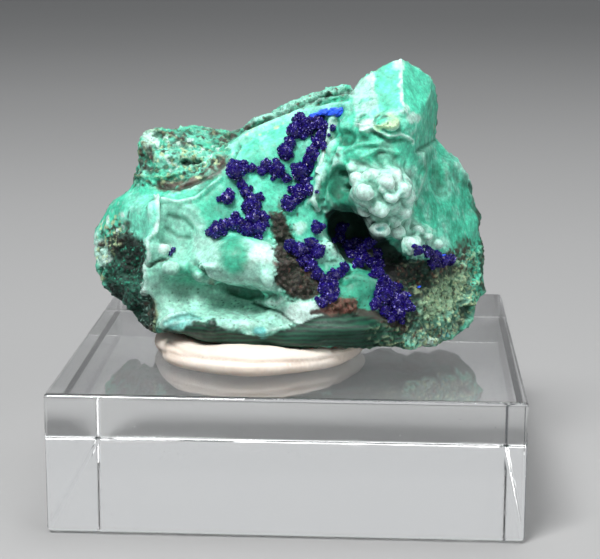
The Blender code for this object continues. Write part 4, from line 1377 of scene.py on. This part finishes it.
def stone_material():
    """Waxy mint stone: painted minerals, cloudy and speckled, with dark bands at its base."""
    look = Look("malachite_and_chrysocolla")
    coarse = look.stored("coarse")
    clouds = look.product(look.pattern("stone cloud"), look.pattern("stone grain"))
    colour = look.mix(1.0, look.stored("tint", "Color"), clouds, "MULTIPLY")
    flecks = look.product(look.pattern("stone flecks"), look.reading("flecks by ground", coarse))
    colour = look.mix(flecks, colour, flat_colour("deep green"))
    colour = look.mix(stone_bands(look), colour, flat_colour("dark green"))
    colour = look.mix(stone_fibres(look), colour, flat_colour("dark green"))
    skin = look.bump(look.texture("stone skin"), *BUMPS["stone skin"])
    grit = look.bump(look.texture("stone grit"), look.reading("grit by ground", coarse), GRIT_DEPTH)
    look.feed(grit.inputs["Normal"], skin.outputs["Normal"])
    return look.finished({
        "Base Color": colour,
        "Roughness": look.pattern("stone sheen"),
        "IOR": 1.5,
        "Subsurface Weight": 0.12,
        "Subsurface Radius": (0.3, 1.0, 0.7),
        "Subsurface Scale": 0.0006,
        "Normal": grit.outputs["Normal"],
    })


def azurite_material():
    """Deep blue, glassy blades; a few carry painted glints, pale or bright blue."""
    look = Look("azurite")
    spark = look.stored("spark")
    colour = look.mix(look.pattern("azurite cloud"), *AZURITE_GROUND)
    # Painted glints: pale on a few blades, bright blue on the bright blades
    for name, brighter in AZURITE_SPARKS.items():
        colour = look.mix(look.reading(name, spark), colour, brighter)
    grain = look.bump(look.texture("azurite grain"), *BUMPS["azurite grain"])
    return look.finished({
        "Base Color": colour,
        "Roughness": look.pattern("azurite sheen"),
        "IOR": 1.5,
        "Normal": grain.outputs["Normal"],
    })


def putty_material():
    """Soft warm white putty with faint streaks and rubbed spots."""
    look = Look("mineral_putty")
    skin = look.bump(look.texture("putty skin"), *BUMPS["putty skin"])
    return look.finished({
        "Base Color": look.mix(look.pattern("putty cloud"), *PUTTY_TONES),
        "Roughness": look.pattern("putty sheen"),
        "Subsurface Weight": 0.2,
        "Subsurface Radius": (1.0, 0.7, 0.5),
        "Subsurface Scale": 0.001,
        "Normal": skin.outputs["Normal"],
    })


def acrylic_material():
    """Clear acrylic, a little rubbed."""
    look = Look("clear_acrylic")
    specks = look.bump(look.pattern("block specks"), *BUMPS["block specks"])
    return look.finished({
        "Base Color": ACRYLIC_TINT,
        "Transmission Weight": 1.0,
        "IOR": 1.49,
        "Roughness": look.pattern("block rub"),
        "Normal": specks.outputs["Normal"],
    })


def floor_material():
    """Plain pale matt."""
    look = Look("plain_floor")
    return look.finished({"Base Color": look.pattern("floor cloud"), "Roughness": 0.9})


# Surroundings


def floor():
    """A plain pale floor."""
    bpy.ops.mesh.primitive_plane_add(size=FLOOR_SIDE, location=FLOOR_PLACE)
    plane = bpy.context.object
    plane.name = "floor"
    plane.data.materials.append(floor_material())


def soft_light(name, place, size, power):
    """A square soft light that looks at the specimen."""
    lamp = bpy.data.lights.new(name, "AREA")
    lamp.size = size
    lamp.energy = power
    holder = new_object(name, lamp)
    holder.location = place
    holder.rotation_euler = (LIT_POINT - Vector(place)).to_track_quat("-Z", "Y").to_euler()


def lights():
    """Soft lights above, in front, beside and behind, and a pale surrounding."""
    for name, (place, size, power) in LIGHTS.items():
        soft_light(name, place, size, power)
    world = bpy.data.worlds.new("surroundings")
    world.use_nodes = True
    background = world.node_tree.nodes["Background"]
    background.inputs["Color"].default_value = SKY_COLOUR
    background.inputs["Strength"].default_value = SKY_STRENGTH
    bpy.context.scene.world = world


def camera():
    """The photograph's view."""
    lens = bpy.data.cameras.new("photo_view")
    lens.sensor_width = SENSOR_MM
    lens.lens = FOCAL_PX * SENSOR_MM / PHOTO_WIDTH
    lens.clip_start = NEAR_LIMIT
    lens.clip_end = FAR_LIMIT
    holder = new_object("photo_view", lens)
    turn = Matrix((RIGHT, UP, -FORWARD)).transposed()
    holder.matrix_world = Matrix.Translation(EYE * MM) @ turn.to_4x4()
    bpy.context.scene.camera = holder


def main():
    """Build every piece, then the floor, the lights and the camera."""
    rng = random.Random(DRAW_SEED)
    stone = malachite_stone()
    tree = tree_of(stone.data)
    stone.data.materials.append(stone_material())
    finish_piece(stone, ["malachite_matrix"])

    blue = azurite_material()
    for node, balls in BALLS.items():
        piece = azurite_piece(node + "_crystals", balls, tree, rng)
        share, places = BRIGHT_BLADES.get(node, (1.0, ()))
        add_bright_blades(piece, share, places, tree, rng)
        piece.data.materials.append(blue)
        finish_piece(piece, [node])

    speck = azurite_piece("azurite_speck", SMALL_AZURITE, tree, rng)
    speck.data.materials.append(blue)
    finish_piece(speck, ())

    pad = putty_pad()
    pad.data.materials.append(putty_material())
    finish_piece(pad, ["mounting_tack"])

    slab = acrylic_slab()
    slab.data.materials.append(acrylic_material())
    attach(slab, "root")
    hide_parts("acrylic_block")

    floor()
    lights()
    camera()
    bpy.context.scene.view_settings.view_transform = "Standard"


main()
